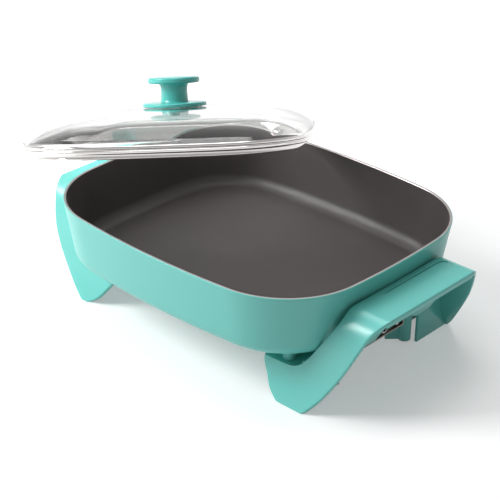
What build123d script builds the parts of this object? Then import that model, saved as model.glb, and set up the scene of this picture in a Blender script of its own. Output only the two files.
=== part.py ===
from build123d import *
import os
from math import atan, degrees, tan

# Electric skillet: a cast aluminium pan with a heating element cast into its underside, two one-piece
# plastic handles whose legs are the feet, and a loose domed glass lid that leans on the pan's back rim.
# Millimetres. The origin is the centre of the pan on the surface that the feet stand on, +X points to the
# handle with the control inlet, +Y to the back and +Z up.

# ---------------------------------------------------------------- driving dimensions: pan
rim_length = 360.0
rim_width = 300.0
rim_height = 119.5
pan_height = 69.0
bottom_inset = 10.9
wall_thickness = 3.0
floor_thickness = 5.0
long_side_radius = 967.0
short_side_radius = 896.0
corner_radius = 89.0
bottom_edge_radius = 17.0
cavity_edge_radius = 14.0
rim_edge_radius = 0.8

# ---------------------------------------------------------------- driving dimensions: handles
grip_top_height = 100.4
grip_outer_x = 220.5
grip_inner_x = 177.6
grip_half_length = 62.0
shell_thickness = 4.0
lip_depth = 8.0
lip_thickness = 3.0
foot_half_span = 113.0
foot_inner_x = 128.0
right_foot_outer_x = 163.0
left_foot_outer_x = 141.0
shelf_top_height = 33.0
shelf_inner_x = 103.5
web_thickness = 3.0
apron_arch_height = 59.0
apron_arch_half_width = 31.0
apron_edge_height = 49.5
apron_ledge_half_width = 52.0
apron_ledge_height = 50.5
apron_rise = (68.7, 62.5)
apron_half_width = 88.0
apron_end_height = 84.0
tower_x = 151.4
tower_y = 54.9
tower_radius = 6.5
tower_bottom_height = 2.0
standoff_x = 125.0
standoff_y = 87.0
standoff_radius = 6.5
bridge_thickness = 4.0
bridge_top_height = 41.5
bridge_inner_x = 144.0
bridge_y = 72.0
bridge_width = 56.0
shelf_y = 80.0
shelf_width = 42.0
foot_web_height = 15.0
foot_web_width = 22.0
gusset_length = 14.0
gusset_offset_x = 9.0
gusset_offset_y = 7.5
lip_inset = 2.2
groove_width = 1.4
groove_depth = 1.0
groove_half_length = 57.5
groove_x = 185.2

# ---------------------------------------------------------------- driving dimensions: fasteners
screw_radius = 2.5
screw_head_radius = 4.6
screw_head_height = 3.5
screw_bore_clearance = 0.3
thread_clearance = 0.05
thread_engagement = 7.0
thread_hole_extra_depth = 1.5
washer_radius = 5.0
washer_thickness = 1.0
counterbore_radius = 5.4
tower_seat_height = 38.0
boss_depth = 5.0
boss_radius = 8.0

# ---------------------------------------------------------------- driving dimensions: heating element
element_radius = 4.0
element_fit = 0.05
element_height = 44.0
element_pin_spacing = 34.0
element_loop_x = 104.0
element_loop_y = 88.0
element_bend_radius = 24.0
element_end_x = 158.0
rib_width = 15.0
rib_skin = 1.5
rib_end_x = 150.0
pin_radius = 2.4
pin_root_radius = 1.9
pin_fit = 0.05
pin_end_x = 170.0
pin_root_x = 148.0
seal_length = 3.0
sleeve_outer_radius = 4.5
sleeve_bore_radius = 3.3
sleeve_start_x = 112.0
sleeve_end_x = 168.0
sleeve_fit = 0.05
sleeve_blind_wall = 2.0
guard_length = 9.0
guard_back_x = 158.6
guard_half_width = 30.0
guard_bottom_height = 35.6
guard_top_height = 50.0
guard_sheet = 1.5
guard_tab_y = 36.0
guard_tab_x = 148.0
guard_tab_radius = 5.5
guard_boss_radius = 5.5
guard_screw_radius = 2.0
guard_screw_head_radius = 3.6
guard_screw_head_height = 2.6
guard_thread_engagement = 6.0

# ---------------------------------------------------------------- driving dimensions: lid
lid_overhang = 6.5
band_top_height = 11.2
bead_bottom_height = 2.8
band_sheet = 0.8
band_lip_width = 4.2
skirt_inset = 3.5
skirt_drop = 3.2
glass_thickness = 4.0
glass_seat_gap = 0.05
glass_top_height = 37.6
knob_base_radius = 35.2
knob_base_thickness = 4.0
knob_stem_radius = 15.0
knob_cap_radius = 28.4
knob_cap_thickness = 7.5
knob_height = 28.5
upper_gasket_radius = 30.0
gasket_thickness = 1.0
lower_disc_radius = 26.0
lower_disc_thickness = 3.0
lower_gasket_radius = 22.0
knob_screw_radius = 3.0
knob_screw_head_radius = 5.5
knob_screw_head_height = 3.6
knob_screw_engagement = 15.0
knob_washer_radius = 8.0
knob_bore_clearance = 0.4
knob_edge_radius = 2.4
disc_edge_radius = 1.2
lid_rest_x = -188.7
lid_rest_y = 75.1
lid_rest_height = 104.0
lid_rest_turn = (-4.6, 19.1, 127.3)

# ---------------------------------------------------------------- values worked out from the above
foot_height = rim_height - pan_height
wall_taper = degrees(atan(bottom_inset / pan_height))
floor_top = foot_height + floor_thickness
boss_bottom = foot_height - boss_depth
bridge_bottom_height = bridge_top_height - bridge_thickness
element_y = element_pin_spacing / 2
lid_rest_centre = (lid_rest_x, lid_rest_y, lid_rest_height)
lid_plane = Plane(Location(lid_rest_centre, lid_rest_turn, Extrinsic.XYZ))
lid_half_length = rim_length / 2 + lid_overhang
tower_points = [(x, y) for x in (-tower_x, tower_x) for y in (-tower_y, tower_y)]
standoff_points = [(x, y) for x in (-standoff_x, standoff_x) for y in (-standoff_y, standoff_y)]
screw_points = tower_points + standoff_points
guard_points = [(guard_tab_x, -guard_tab_y), (guard_tab_x, guard_tab_y)]
upright = (Align.CENTER, Align.CENTER, Align.MIN)

os.makedirs("parts", exist_ok=True)


def bowed_outline(plane, half_x, half_y, long_radius, short_radius, corner):
    """Rectangle with gently bowed sides and round corners, on the given plane."""
    with BuildSketch(plane) as outline:
        with Locations((0, half_y - long_radius)):
            Circle(long_radius)
        with Locations((0, long_radius - half_y)):
            Circle(long_radius, mode=Mode.INTERSECT)
        with Locations((half_x - short_radius, 0)):
            Circle(short_radius, mode=Mode.INTERSECT)
        with Locations((short_radius - half_x, 0)):
            Circle(short_radius, mode=Mode.INTERSECT)
        fillet(outline.vertices(), corner)
    return outline.sketch


def rim_outline(plane, inset):
    """The rim's outline moved inward by inset, or outward where inset is negative."""
    return bowed_outline(
        plane,
        rim_length / 2 - inset,
        rim_width / 2 - inset,
        long_side_radius - inset,
        short_side_radius - inset,
        corner_radius - inset,
    )


def lid_outline(height, share):
    """The lid band's outline scaled about its centre, at a height above the lid's lower plane."""
    half_y = rim_width / 2 + lid_overhang
    return bowed_outline(
        lid_plane.offset(height),
        lid_half_length * share,
        half_y * share,
        (long_side_radius + lid_overhang) * share,
        (short_side_radius + lid_overhang) * share,
        (corner_radius + lid_overhang) * share,
    )


def finish(piece, label):
    """Labels a finished piece and writes its STEP file."""
    piece.label = label
    export_step(piece, f"parts/{label}.step")


# ================================================================ pan body
def inset_at(height):
    """How far the pan's outer wall stands inside the rim at a height above the surface."""
    return (rim_height - height) * tan(atan(bottom_inset / pan_height))


with BuildPart() as cavity:
    extrude(
        rim_outline(Plane.XY.offset(floor_top), inset_at(floor_top) + wall_thickness),
        amount=rim_height - floor_top,
        taper=-wall_taper,
    )
    fillet(cavity.edges().group_by(Axis.Z)[0], cavity_edge_radius)

with BuildLine(Plane.XY.offset(element_height)) as rib_line:
    FilletPolyline(
        (rib_end_x, -element_y),
        (element_loop_x, -element_y),
        (element_loop_x, -element_loop_y),
        (-element_loop_x, -element_loop_y),
        (-element_loop_x, element_loop_y),
        (element_loop_x, element_loop_y),
        (element_loop_x, element_y),
        (rib_end_x, element_y),
        radius=element_bend_radius,
    )

with BuildPart() as element_bore:
    with BuildSketch(Plane(origin=rib_line.line @ 0, z_dir=rib_line.line % 0)):
        Circle(element_radius + element_fit)
    sweep(path=rib_line.line)

rib_bottom = element_height - element_radius - rib_skin
rib_depth = foot_height - rib_bottom + 1.0

with BuildPart() as pan_body:
    extrude(
        rim_outline(Plane.XY.offset(foot_height), bottom_inset),
        amount=pan_height,
        taper=-wall_taper,
    )
    fillet(pan_body.edges().group_by(Axis.Z)[0], bottom_edge_radius)
    add(cavity.part, mode=Mode.SUBTRACT)
    fillet(pan_body.edges().group_by(Axis.Z)[-1], rim_edge_radius)
    with BuildSketch(Plane.XY.offset(rib_bottom)):
        trace(lines=rib_line.line.moved(Location((0, 0, -element_height))), line_width=rib_width)
    extrude(amount=rib_depth)
    with Locations(((sleeve_start_x + rib_end_x) / 2, 0, rib_bottom)):
        Box(rib_end_x - sleeve_start_x + 2 * sleeve_blind_wall, rib_width, rib_depth, align=upright)
    with Locations(*[(x, y, boss_bottom) for x, y in screw_points]):
        Cylinder(boss_radius, boss_depth + 1.0, align=upright)
    with Locations(*[(x, y, boss_bottom) for x, y in guard_points]):
        Cylinder(guard_boss_radius, boss_depth + 1.0, align=upright)
    add(element_bore.part, mode=Mode.SUBTRACT)
    with Locations(Plane(origin=(sleeve_start_x - sleeve_blind_wall, 0, element_height), z_dir=(1, 0, 0))):
        Cylinder(
            sleeve_outer_radius + sleeve_fit,
            rib_end_x - sleeve_start_x + 4 * sleeve_blind_wall,
            align=upright,
            mode=Mode.SUBTRACT,
        )
    with Locations(*[(x, y, boss_bottom) for x, y in screw_points]):
        Cylinder(
            screw_radius + thread_clearance,
            thread_engagement + thread_hole_extra_depth,
            align=upright,
            mode=Mode.SUBTRACT,
        )
    with Locations(*[(x, y, boss_bottom) for x, y in guard_points]):
        Cylinder(
            guard_screw_radius + thread_clearance,
            guard_thread_engagement + thread_hole_extra_depth,
            align=upright,
            mode=Mode.SUBTRACT,
        )
finish(pan_body.part, "pan_body")

# ================================================================ heating element and control inlet
with BuildLine(Plane.XY.offset(element_height)) as element_line:
    FilletPolyline(
        (element_end_x, -element_y),
        (element_loop_x, -element_y),
        (element_loop_x, -element_loop_y),
        (-element_loop_x, -element_loop_y),
        (-element_loop_x, element_loop_y),
        (element_loop_x, element_loop_y),
        (element_loop_x, element_y),
        (element_end_x, element_y),
        radius=element_bend_radius,
    )

element_end_plane = Plane(origin=(element_end_x, 0, element_height), x_dir=(0, 1, 0), z_dir=(1, 0, 0))

with BuildPart() as heating_element:
    with BuildSketch(Plane(origin=element_line.line @ 0, z_dir=element_line.line % 0)):
        Circle(element_radius)
    sweep(path=element_line.line)
    with BuildSketch(element_end_plane):
        with GridLocations(element_pin_spacing, 0, 2, 1):
            Circle(pin_root_radius + pin_fit)
    extrude(amount=-(element_end_x - pin_root_x), mode=Mode.SUBTRACT)
finish(heating_element.part, "heating_element")

with BuildPart() as element_end_seals:
    with BuildSketch(element_end_plane):
        with GridLocations(element_pin_spacing, 0, 2, 1):
            Circle(element_radius)
            Circle(pin_root_radius + pin_fit, mode=Mode.SUBTRACT)
    extrude(amount=seal_length)
finish(element_end_seals.part, "element_end_seals")

pin_shoulder_x = element_end_x + seal_length

with BuildPart() as terminal_pins:
    with BuildSketch(element_end_plane.offset(pin_root_x - element_end_x)):
        with GridLocations(element_pin_spacing, 0, 2, 1):
            Circle(pin_root_radius)
    extrude(amount=pin_shoulder_x - pin_root_x)
    with BuildSketch(element_end_plane.offset(seal_length)):
        with GridLocations(element_pin_spacing, 0, 2, 1):
            Circle(pin_radius)
    extrude(amount=pin_end_x - pin_shoulder_x)
    fillet(terminal_pins.edges().group_by(Axis.X)[-1], pin_radius / 2)
finish(terminal_pins.part, "terminal_pins")

with BuildPart() as sensor_sleeve:
    with BuildSketch(element_end_plane.offset(sleeve_start_x - element_end_x)):
        Circle(sleeve_outer_radius)
    extrude(amount=sleeve_end_x - sleeve_start_x)
    with BuildSketch(element_end_plane.offset(sleeve_end_x - element_end_x)):
        Circle(sleeve_bore_radius)
    extrude(amount=-(sleeve_end_x - sleeve_start_x - sleeve_blind_wall), mode=Mode.SUBTRACT)
finish(sensor_sleeve.part, "sensor_sleeve")

guard_height = guard_top_height - guard_bottom_height
guard_middle = (guard_top_height + guard_bottom_height) / 2
guard_back_plane = Plane(origin=(guard_back_x, 0, guard_middle), x_dir=(0, 1, 0), z_dir=(1, 0, 0))
pin_drop = element_height - guard_middle

with BuildPart() as terminal_guard:
    with BuildSketch(guard_back_plane):
        Rectangle(2 * guard_half_width, guard_height)
    extrude(amount=guard_sheet)
    with BuildSketch(guard_back_plane):
        Rectangle(2 * guard_half_width, guard_height)
        Rectangle(2 * (guard_half_width - guard_sheet), guard_height - 2 * guard_sheet, mode=Mode.SUBTRACT)
    extrude(amount=guard_length)
    with BuildSketch(Plane.XY.offset(boss_bottom - guard_sheet)):
        for side in (-1, 1):
            with Locations((guard_tab_x, side * guard_tab_y)):
                Circle(guard_tab_radius)
            with Locations(((guard_tab_x + guard_back_x + guard_sheet) / 2, side * guard_tab_y)):
                Rectangle(guard_back_x + guard_sheet - guard_tab_x, 2 * guard_tab_radius)
            with Locations((guard_back_x + guard_sheet / 2, side * (guard_half_width + guard_tab_y) / 2)):
                Rectangle(guard_sheet, guard_tab_y - guard_half_width + 2 * guard_sheet)
    extrude(amount=guard_sheet)
    with BuildSketch(guard_back_plane):
        with Locations((-element_y, pin_drop), (0, pin_drop), (element_y, pin_drop)):
            Circle(sleeve_outer_radius + 2 * screw_bore_clearance)
    extrude(amount=guard_sheet, mode=Mode.SUBTRACT)
    with Locations(*[(x, y, boss_bottom - 2 * guard_sheet) for x, y in guard_points]):
        Cylinder(guard_screw_radius + screw_bore_clearance, 3 * guard_sheet, align=upright, mode=Mode.SUBTRACT)
finish(terminal_guard.part, "terminal_guard")


# ================================================================ fasteners
def screws(points, seat_height, shank_radius, head_radius, head_height, shank_length):
    """Screws that point up, each head below its seat, as one group of separate solids."""
    with BuildPart() as group:
        with Locations(*[(x, y, seat_height) for x, y in points]):
            Cylinder(shank_radius, shank_length, align=upright)
        with Locations(*[(x, y, seat_height - head_height) for x, y in points]):
            Cylinder(head_radius, head_height, align=upright)
        heads = group.edges().filter_by(GeomType.CIRCLE).group_by(Axis.Z)[0]
        chamfer(heads, head_height / 5)
        with Locations(*[(x, y, seat_height - head_height) for x, y in points]):
            Box(2.4 * head_height, head_height / 4, head_height / 2, align=upright, mode=Mode.SUBTRACT)
            Box(head_height / 4, 2.4 * head_height, head_height / 2, align=upright, mode=Mode.SUBTRACT)
    return group.part


def rings(points, bottom_height, outer_radius, inner_radius, thickness):
    """Flat rings or sleeves standing on a height, as one group of separate solids."""
    with BuildPart() as group:
        with Locations(*[(x, y, bottom_height) for x, y in points]):
            Cylinder(outer_radius, thickness, align=upright)
            Cylinder(inner_radius, thickness, align=upright, mode=Mode.SUBTRACT)
    return group.part


tower_head_seat = tower_seat_height - washer_thickness
standoff_seat = shelf_top_height - shell_thickness
standoff_head_seat = standoff_seat - washer_thickness
thread_top = boss_bottom + thread_engagement

finish(
    screws(
        guard_points,
        boss_bottom - guard_sheet,
        guard_screw_radius,
        guard_screw_head_radius,
        guard_screw_head_height,
        guard_sheet + guard_thread_engagement,
    ),
    "guard_screws",
)
finish(
    screws(
        tower_points,
        tower_head_seat,
        screw_radius,
        screw_head_radius,
        screw_head_height,
        thread_top - tower_head_seat,
    ),
    "tower_screws",
)
finish(
    screws(
        standoff_points,
        standoff_head_seat,
        screw_radius,
        screw_head_radius,
        screw_head_height,
        thread_top - standoff_head_seat,
    ),
    "standoff_screws",
)
bore = screw_radius + screw_bore_clearance
finish(rings(tower_points, tower_head_seat, washer_radius, bore, washer_thickness), "tower_washers")
finish(rings(standoff_points, standoff_head_seat, washer_radius, bore, washer_thickness), "standoff_washers")
finish(
    rings(standoff_points, shelf_top_height, standoff_radius, bore, boss_bottom - shelf_top_height),
    "standoff_bushes",
)


# ================================================================ handles
leg_heights = (20.0, 40.0, 60.0, 80.0)
leg_half_spans = (103.0, 97.0, 92.3, 85.5)
grip_inner_height = 94.0
inner_edge_points = [(170.2, 76.5), (157.4, 53.5), (142.0, 36.6)]
shelf_bend_x = 124.0
foot_side_points = [(111.0, 18.3), (119.0, 8.0)]
foot_corner = 3.0
outer_edge_points = [(200.5, 60.0), (208.5, 80.0)]
outer_edge_low = (185.0, 30.0)
foot_narrowing = right_foot_outer_x - left_foot_outer_x


def leg_section(depth):
    """The region under the surface that lies a depth below the outer one of grip and legs, seen along X."""
    with BuildLine(mode=Mode.PRIVATE):
        outer = Spline(
            (foot_half_span, 0),
            *zip(leg_half_spans, leg_heights),
            (grip_half_length, grip_top_height),
            tangents=[(-0.45, 0.9), (-1.0, 0.0)],
        )
    shares = [step / 8 for step in range(9)]
    points = [outer @ share + (outer % share).rotate(Axis.Z, 90) * depth for share in shares]
    with BuildSketch(Plane.YZ) as section:
        with BuildLine():
            foot = points[0] - (outer % 0) * (points[0].Y / (outer % 0).Y)
            leg = Spline(foot, *points[1:], tangents=[outer % 0, (-1.0, 0.0)])
            Line(leg @ 1, (0, grip_top_height - depth))
            Line((0, 0), foot)
            mirror(about=Plane.YZ)
        make_face()
    return section.sketch


def leg_silhouette(foot_outer_x):
    """The region that holds grip and legs, seen along Y: the pan side, the foot and the outer edge."""
    narrowed = (right_foot_outer_x - foot_outer_x) / foot_narrowing
    with BuildSketch(Plane.XZ) as silhouette:
        with BuildLine():
            inner = Spline(
                (grip_inner_x, grip_inner_height),
                *inner_edge_points,
                (shelf_bend_x, shelf_top_height),
                tangents=[(-0.1, -1.0), (-1.0, 0.0)],
            )
            shelf = Line(inner @ 1, (shelf_inner_x, shelf_top_height))
            foot_side = Spline(
                shelf @ 1,
                *foot_side_points,
                (foot_inner_x + foot_corner, 0.0),
                tangents=[(-0.1, -1.0), (1.0, -0.6)],
            )
            foot = Line(foot_side @ 1, (foot_outer_x, 0))
            outer = Spline(
                foot @ 1,
                (outer_edge_low[0] - 4.0 * narrowed, outer_edge_low[1]),
                *outer_edge_points,
                (grip_outer_x, grip_top_height),
                tangents=[(0.6 + 0.44 * narrowed, 0.6), (0.7, 0.7)],
            )
            top = Line(outer @ 1, (grip_outer_x, grip_top_height + shell_thickness))
            end = Line(top @ 1, (grip_inner_x, grip_top_height + shell_thickness))
            Line(end @ 1, inner @ 0)
        make_face()
    return silhouette.sketch


def apron_section(plane):
    """The apron that closes the pan side of the grip, seen along X, with an arch over the control inlet."""
    with BuildSketch(plane) as section:
        with BuildLine():
            arch = Spline(
                (0, apron_arch_height),
                (apron_arch_half_width, apron_edge_height),
                tangents=[(1.0, 0.0), (1.0, -0.6)],
            )
            ledge = Line(arch @ 1, (apron_ledge_half_width, apron_ledge_height))
            rise = Spline(
                ledge @ 1,
                apron_rise,
                (apron_half_width, apron_end_height),
                tangents=[(1.0, 0.1), (0.8, 0.8)],
            )
            Line(rise @ 1, (apron_half_width, grip_top_height - 1.0))
            Line((apron_half_width, grip_top_height - 1.0), (0, grip_top_height - 1.0))
            mirror(about=Plane.YZ)
        make_face()
    return section.sketch


def make_handle(foot_outer_x):
    """A one-piece handle on the +X side: grip, two legs that are the feet, apron, webs and screw towers."""
    reach = grip_outer_x + shell_thickness
    with BuildPart() as envelope:
        extrude(leg_section(0), amount=reach)
    with BuildPart() as silhouette:
        extrude(leg_silhouette(foot_outer_x), amount=2 * foot_half_span, both=True)
    with BuildPart() as shell:
        extrude(leg_section(0) - leg_section(shell_thickness), amount=reach)
        add(silhouette.part, mode=Mode.INTERSECT)
    with BuildPart() as webs:
        with Locations((right_foot_outer_x - web_thickness / 2, 0, 0)):
            Box(web_thickness, 2 * foot_half_span, bridge_top_height, align=upright)
            Box(
                web_thickness,
                2 * (tower_y + tower_radius - 1.0),
                bridge_top_height,
                align=upright,
                mode=Mode.SUBTRACT,
            )
        with Locations((foot_inner_x + foot_corner + web_thickness / 2, 0, 0)):
            Box(web_thickness, 2 * foot_half_span, foot_web_height, align=upright)
            Box(
                web_thickness,
                2 * (foot_half_span - foot_web_width),
                foot_web_height,
                align=upright,
                mode=Mode.SUBTRACT,
            )
        add(silhouette.part, mode=Mode.INTERSECT)
    with BuildPart() as handle:
        add(shell.part)
        add(webs.part)
        for side in (-1, 1):
            with Locations(((shelf_inner_x + right_foot_outer_x) / 2 + 1.0, side * shelf_y, standoff_seat)):
                Box(right_foot_outer_x - shelf_inner_x - 2.0, shelf_width, shell_thickness, align=upright)
            with Locations(((bridge_inner_x + right_foot_outer_x) / 2, side * bridge_y, bridge_bottom_height)):
                Box(right_foot_outer_x - bridge_inner_x, bridge_width, bridge_thickness, align=upright)
            with Locations((tower_x, side * tower_y, tower_bottom_height)):
                Cylinder(tower_radius, boss_bottom - tower_bottom_height, align=upright)
            gusset = (tower_x - gusset_offset_x, side * (tower_y - gusset_offset_y), tower_bottom_height)
            with Locations(Location(gusset, (0, 0, side * 45))):
                Box(gusset_length, web_thickness, bridge_top_height - tower_bottom_height, align=upright)
        with BuildSketch(Plane.XY.offset(grip_top_height - lip_depth)):
            with Locations((grip_outer_x - lip_inset - lip_thickness / 2, 0)):
                Rectangle(lip_thickness, 2 * (grip_half_length + lip_thickness))
        extrude(amount=lip_depth - 1.0)
        add(envelope.part, mode=Mode.INTERSECT)
        extrude(apron_section(Plane.YZ.offset(grip_inner_x)), amount=web_thickness)
        add(envelope.part, mode=Mode.INTERSECT)
        with BuildSketch(Plane.XY.offset(grip_top_height - groove_depth)):
            with Locations((groove_x, 0)):
                SlotOverall(2 * groove_half_length, groove_width, rotation=90)
        extrude(amount=groove_depth, mode=Mode.SUBTRACT)
        with Locations(*[(tower_x, y, 0) for y in (-tower_y, tower_y)]):
            Cylinder(counterbore_radius, tower_seat_height, align=upright, mode=Mode.SUBTRACT)
            Cylinder(bore, boss_bottom, align=upright, mode=Mode.SUBTRACT)
        with Locations(*[(standoff_x, y, 0) for y in (-standoff_y, standoff_y)]):
            Cylinder(bore, boss_bottom, align=upright, mode=Mode.SUBTRACT)
    return handle.part


right_handle = make_handle(right_foot_outer_x)
finish(right_handle, "right_handle")

with BuildPart() as left_handle:
    add(mirror(make_handle(left_foot_outer_x), about=Plane.YZ, mode=Mode.PRIVATE))
finish(left_handle.part, "left_handle")

# ================================================================ lid
# Each station is a share of the band's outline and a share of the glass's height.
glass_stations = [(0.993, 0.223), (0.972, 0.271), (0.93, 0.44), (0.85, 0.61), (0.7, 0.785), (0.5, 0.917)]
glass_bottom_height = bead_bottom_height + band_sheet + glass_seat_gap
glass_profile = [(glass_stations[0][0], glass_bottom_height)]
glass_profile += [(share, rise * glass_top_height) for share, rise in glass_stations]
glass_flat_share = 0.26
glass_inner_share_step = glass_thickness / lid_half_length


def dome(profile, top_height):
    """Solid dome through the scaled outlines of a profile, up to its flat top."""
    sections = [lid_outline(height, share) for share, height in profile]
    sections.append(lid_outline(top_height, glass_flat_share))
    with BuildPart() as solid:
        loft(sections, ruled=True)
    return solid.part


lower_profile = [
    (share - glass_inner_share_step, height - 0.8 * glass_thickness) for share, height in glass_profile[1:]
]
lower_profile = [(lower_profile[0][0], glass_bottom_height)] + lower_profile
glass_top = lid_plane.offset(glass_top_height)
glass_underside = lid_plane.offset(glass_top_height - glass_thickness)

with BuildPart() as lid_glass:
    add(dome(glass_profile, glass_top_height))
    add(dome(lower_profile, glass_top_height - glass_thickness), mode=Mode.SUBTRACT)
    with BuildSketch(glass_top):
        Circle(knob_screw_radius + knob_bore_clearance)
    extrude(amount=-2 * glass_thickness, mode=Mode.SUBTRACT)
finish(lid_glass.part, "lid_glass")

bead_height = band_top_height - bead_bottom_height
skirt_height = skirt_drop + bead_bottom_height + band_sheet
bead_plane = lid_plane.offset(bead_bottom_height)
skirt_plane = lid_plane.offset(-skirt_drop)

with BuildPart() as lid_rim_band:
    extrude(rim_outline(bead_plane, -lid_overhang), amount=bead_height)
    bead_inside = rim_outline(bead_plane.offset(band_sheet), band_sheet - lid_overhang)
    extrude(bead_inside, amount=bead_height - 2 * band_sheet, mode=Mode.SUBTRACT)
    lip_opening = rim_outline(bead_plane.offset(band_sheet), band_lip_width - lid_overhang)
    extrude(lip_opening, amount=bead_height, mode=Mode.SUBTRACT)
    extrude(rim_outline(skirt_plane, skirt_inset), amount=skirt_height)
    extrude(rim_outline(skirt_plane, skirt_inset + band_sheet), amount=skirt_height, mode=Mode.SUBTRACT)
finish(lid_rim_band.part, "lid_rim_band")


def lid_disc(plane, outer_radius, inner_radius, thickness, edge=0.0):
    """A round plate with a centre hole, standing on a plane of the lid."""
    with BuildPart() as disc:
        with BuildSketch(plane):
            Circle(outer_radius)
        extrude(amount=thickness)
        if edge:
            fillet(disc.edges().filter_by(GeomType.CIRCLE), edge)
        with BuildSketch(plane):
            Circle(inner_radius)
        extrude(amount=thickness, mode=Mode.SUBTRACT)
    return disc.part


knob_bore = knob_screw_radius + knob_bore_clearance
knob_base_plane = glass_top.offset(gasket_thickness)
knob_plane = knob_base_plane.offset(knob_base_thickness)
lower_gasket_plane = glass_underside.offset(-gasket_thickness)
lower_disc_plane = lower_gasket_plane.offset(-lower_disc_thickness)
knob_washer_plane = lower_disc_plane.offset(-washer_thickness)
screw_reach = (
    knob_screw_engagement
    + knob_base_thickness
    + 2 * gasket_thickness
    + glass_thickness
    + lower_disc_thickness
    + washer_thickness
)

finish(lid_disc(glass_top, upper_gasket_radius, knob_bore, gasket_thickness), "upper_gasket")
finish(lid_disc(knob_base_plane, knob_base_radius, knob_bore, knob_base_thickness, edge=disc_edge_radius), "knob_base_disc")
finish(lid_disc(lower_gasket_plane, lower_gasket_radius, knob_bore, gasket_thickness), "lower_gasket")
finish(lid_disc(lower_disc_plane, lower_disc_radius, knob_bore, lower_disc_thickness, edge=disc_edge_radius), "lower_disc")
finish(lid_disc(knob_washer_plane, knob_washer_radius, knob_bore, washer_thickness), "knob_screw_washer")

with BuildPart() as lid_knob:
    with BuildSketch(knob_plane):
        Circle(knob_stem_radius)
    extrude(amount=knob_height - knob_cap_thickness / 2)
    with BuildSketch(knob_plane.offset(knob_height - knob_cap_thickness)):
        Circle(knob_cap_radius)
    extrude(amount=knob_cap_thickness)
    cap_edges = lid_knob.edges().filter_by(GeomType.CIRCLE).sort_by(SortBy.RADIUS)[-2:]
    fillet(cap_edges, knob_edge_radius)
    with BuildSketch(knob_plane):
        Circle(knob_screw_radius + thread_clearance)
    extrude(amount=knob_screw_engagement + thread_hole_extra_depth, mode=Mode.SUBTRACT)
finish(lid_knob.part, "lid_knob")

with BuildPart() as knob_screw:
    with BuildSketch(knob_washer_plane):
        Circle(knob_screw_radius)
    extrude(amount=screw_reach)
    with BuildSketch(knob_washer_plane):
        Circle(knob_screw_head_radius)
    extrude(amount=-knob_screw_head_height)
finish(knob_screw.part, "knob_screw")
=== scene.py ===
"""Electric skillet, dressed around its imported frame.

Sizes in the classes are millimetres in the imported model's frame: the origin is the centre of the pan on the
surface that the feet stand on, +X points to the handle with the control inlet, +Y to the back and +Z up.
Meshes are written in metres.
"""

import logging
import math
from dataclasses import dataclass, field
from enum import Enum, IntEnum
from typing import Sequence

import bmesh
import bpy
import numpy as np
from mathutils import Matrix, Vector


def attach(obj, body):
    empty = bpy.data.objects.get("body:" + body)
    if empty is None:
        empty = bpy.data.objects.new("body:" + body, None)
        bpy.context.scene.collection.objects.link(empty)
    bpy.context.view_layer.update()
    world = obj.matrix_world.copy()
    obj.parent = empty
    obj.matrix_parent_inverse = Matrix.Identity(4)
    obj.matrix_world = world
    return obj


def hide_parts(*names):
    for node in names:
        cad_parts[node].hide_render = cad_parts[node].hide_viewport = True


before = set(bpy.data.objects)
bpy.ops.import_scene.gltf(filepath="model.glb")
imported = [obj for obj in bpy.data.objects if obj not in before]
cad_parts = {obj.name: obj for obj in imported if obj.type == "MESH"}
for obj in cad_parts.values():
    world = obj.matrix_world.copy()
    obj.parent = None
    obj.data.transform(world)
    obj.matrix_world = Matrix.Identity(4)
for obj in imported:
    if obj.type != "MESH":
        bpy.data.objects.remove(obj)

LOG = logging.getLogger("skillet")
MM = 0.001
SMOOTH_ANGLE = math.radians(38.0)

Pair = tuple[float, float]
Point = tuple[float, float, float]
Colour = tuple[float, float, float]
Row = tuple[float, float, float, float]
Values = dict[str | int, object]


class Body(Enum):
    """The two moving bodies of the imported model."""

    BASE = "base"
    LID = "lid"


class Side(Enum):
    """The side of the pan that a handle stands on."""

    RIGHT = 1
    LEFT = -1


class PanCoat(IntEnum):
    """The pan's finishes, by slot."""

    ENAMEL = 0
    BARE = 1
    NONSTICK = 2


class End(Enum):
    """How the end of a stack of rings is closed."""

    OPEN = "open"
    FACE = "face"
    POLE = "pole"


class Axis(Enum):
    """A plate's axis, with the places of its outline's two coordinates and its height in a point."""

    X = (2, 0, 1)
    Z = (0, 1, 2)


# ---------------------------------------------------------------- shader maths
class Signal:
    """A shader socket that Python's operators combine through Math nodes."""

    def __init__(self, graph: "Graph", socket: bpy.types.NodeSocket) -> None:
        """Wraps an output socket of one of the graph's nodes."""
        self.graph, self.socket = graph, socket

    def __add__(self, other: "Signal | float") -> "Signal":
        """Adds a signal or a number."""
        return self.graph.math("ADD", self, other)

    def __mul__(self, other: "Signal | float") -> "Signal":
        """Multiplies by a signal or a number."""
        return self.graph.math("MULTIPLY", self, other)

    __radd__ = __add__
    __rmul__ = __mul__


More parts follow.
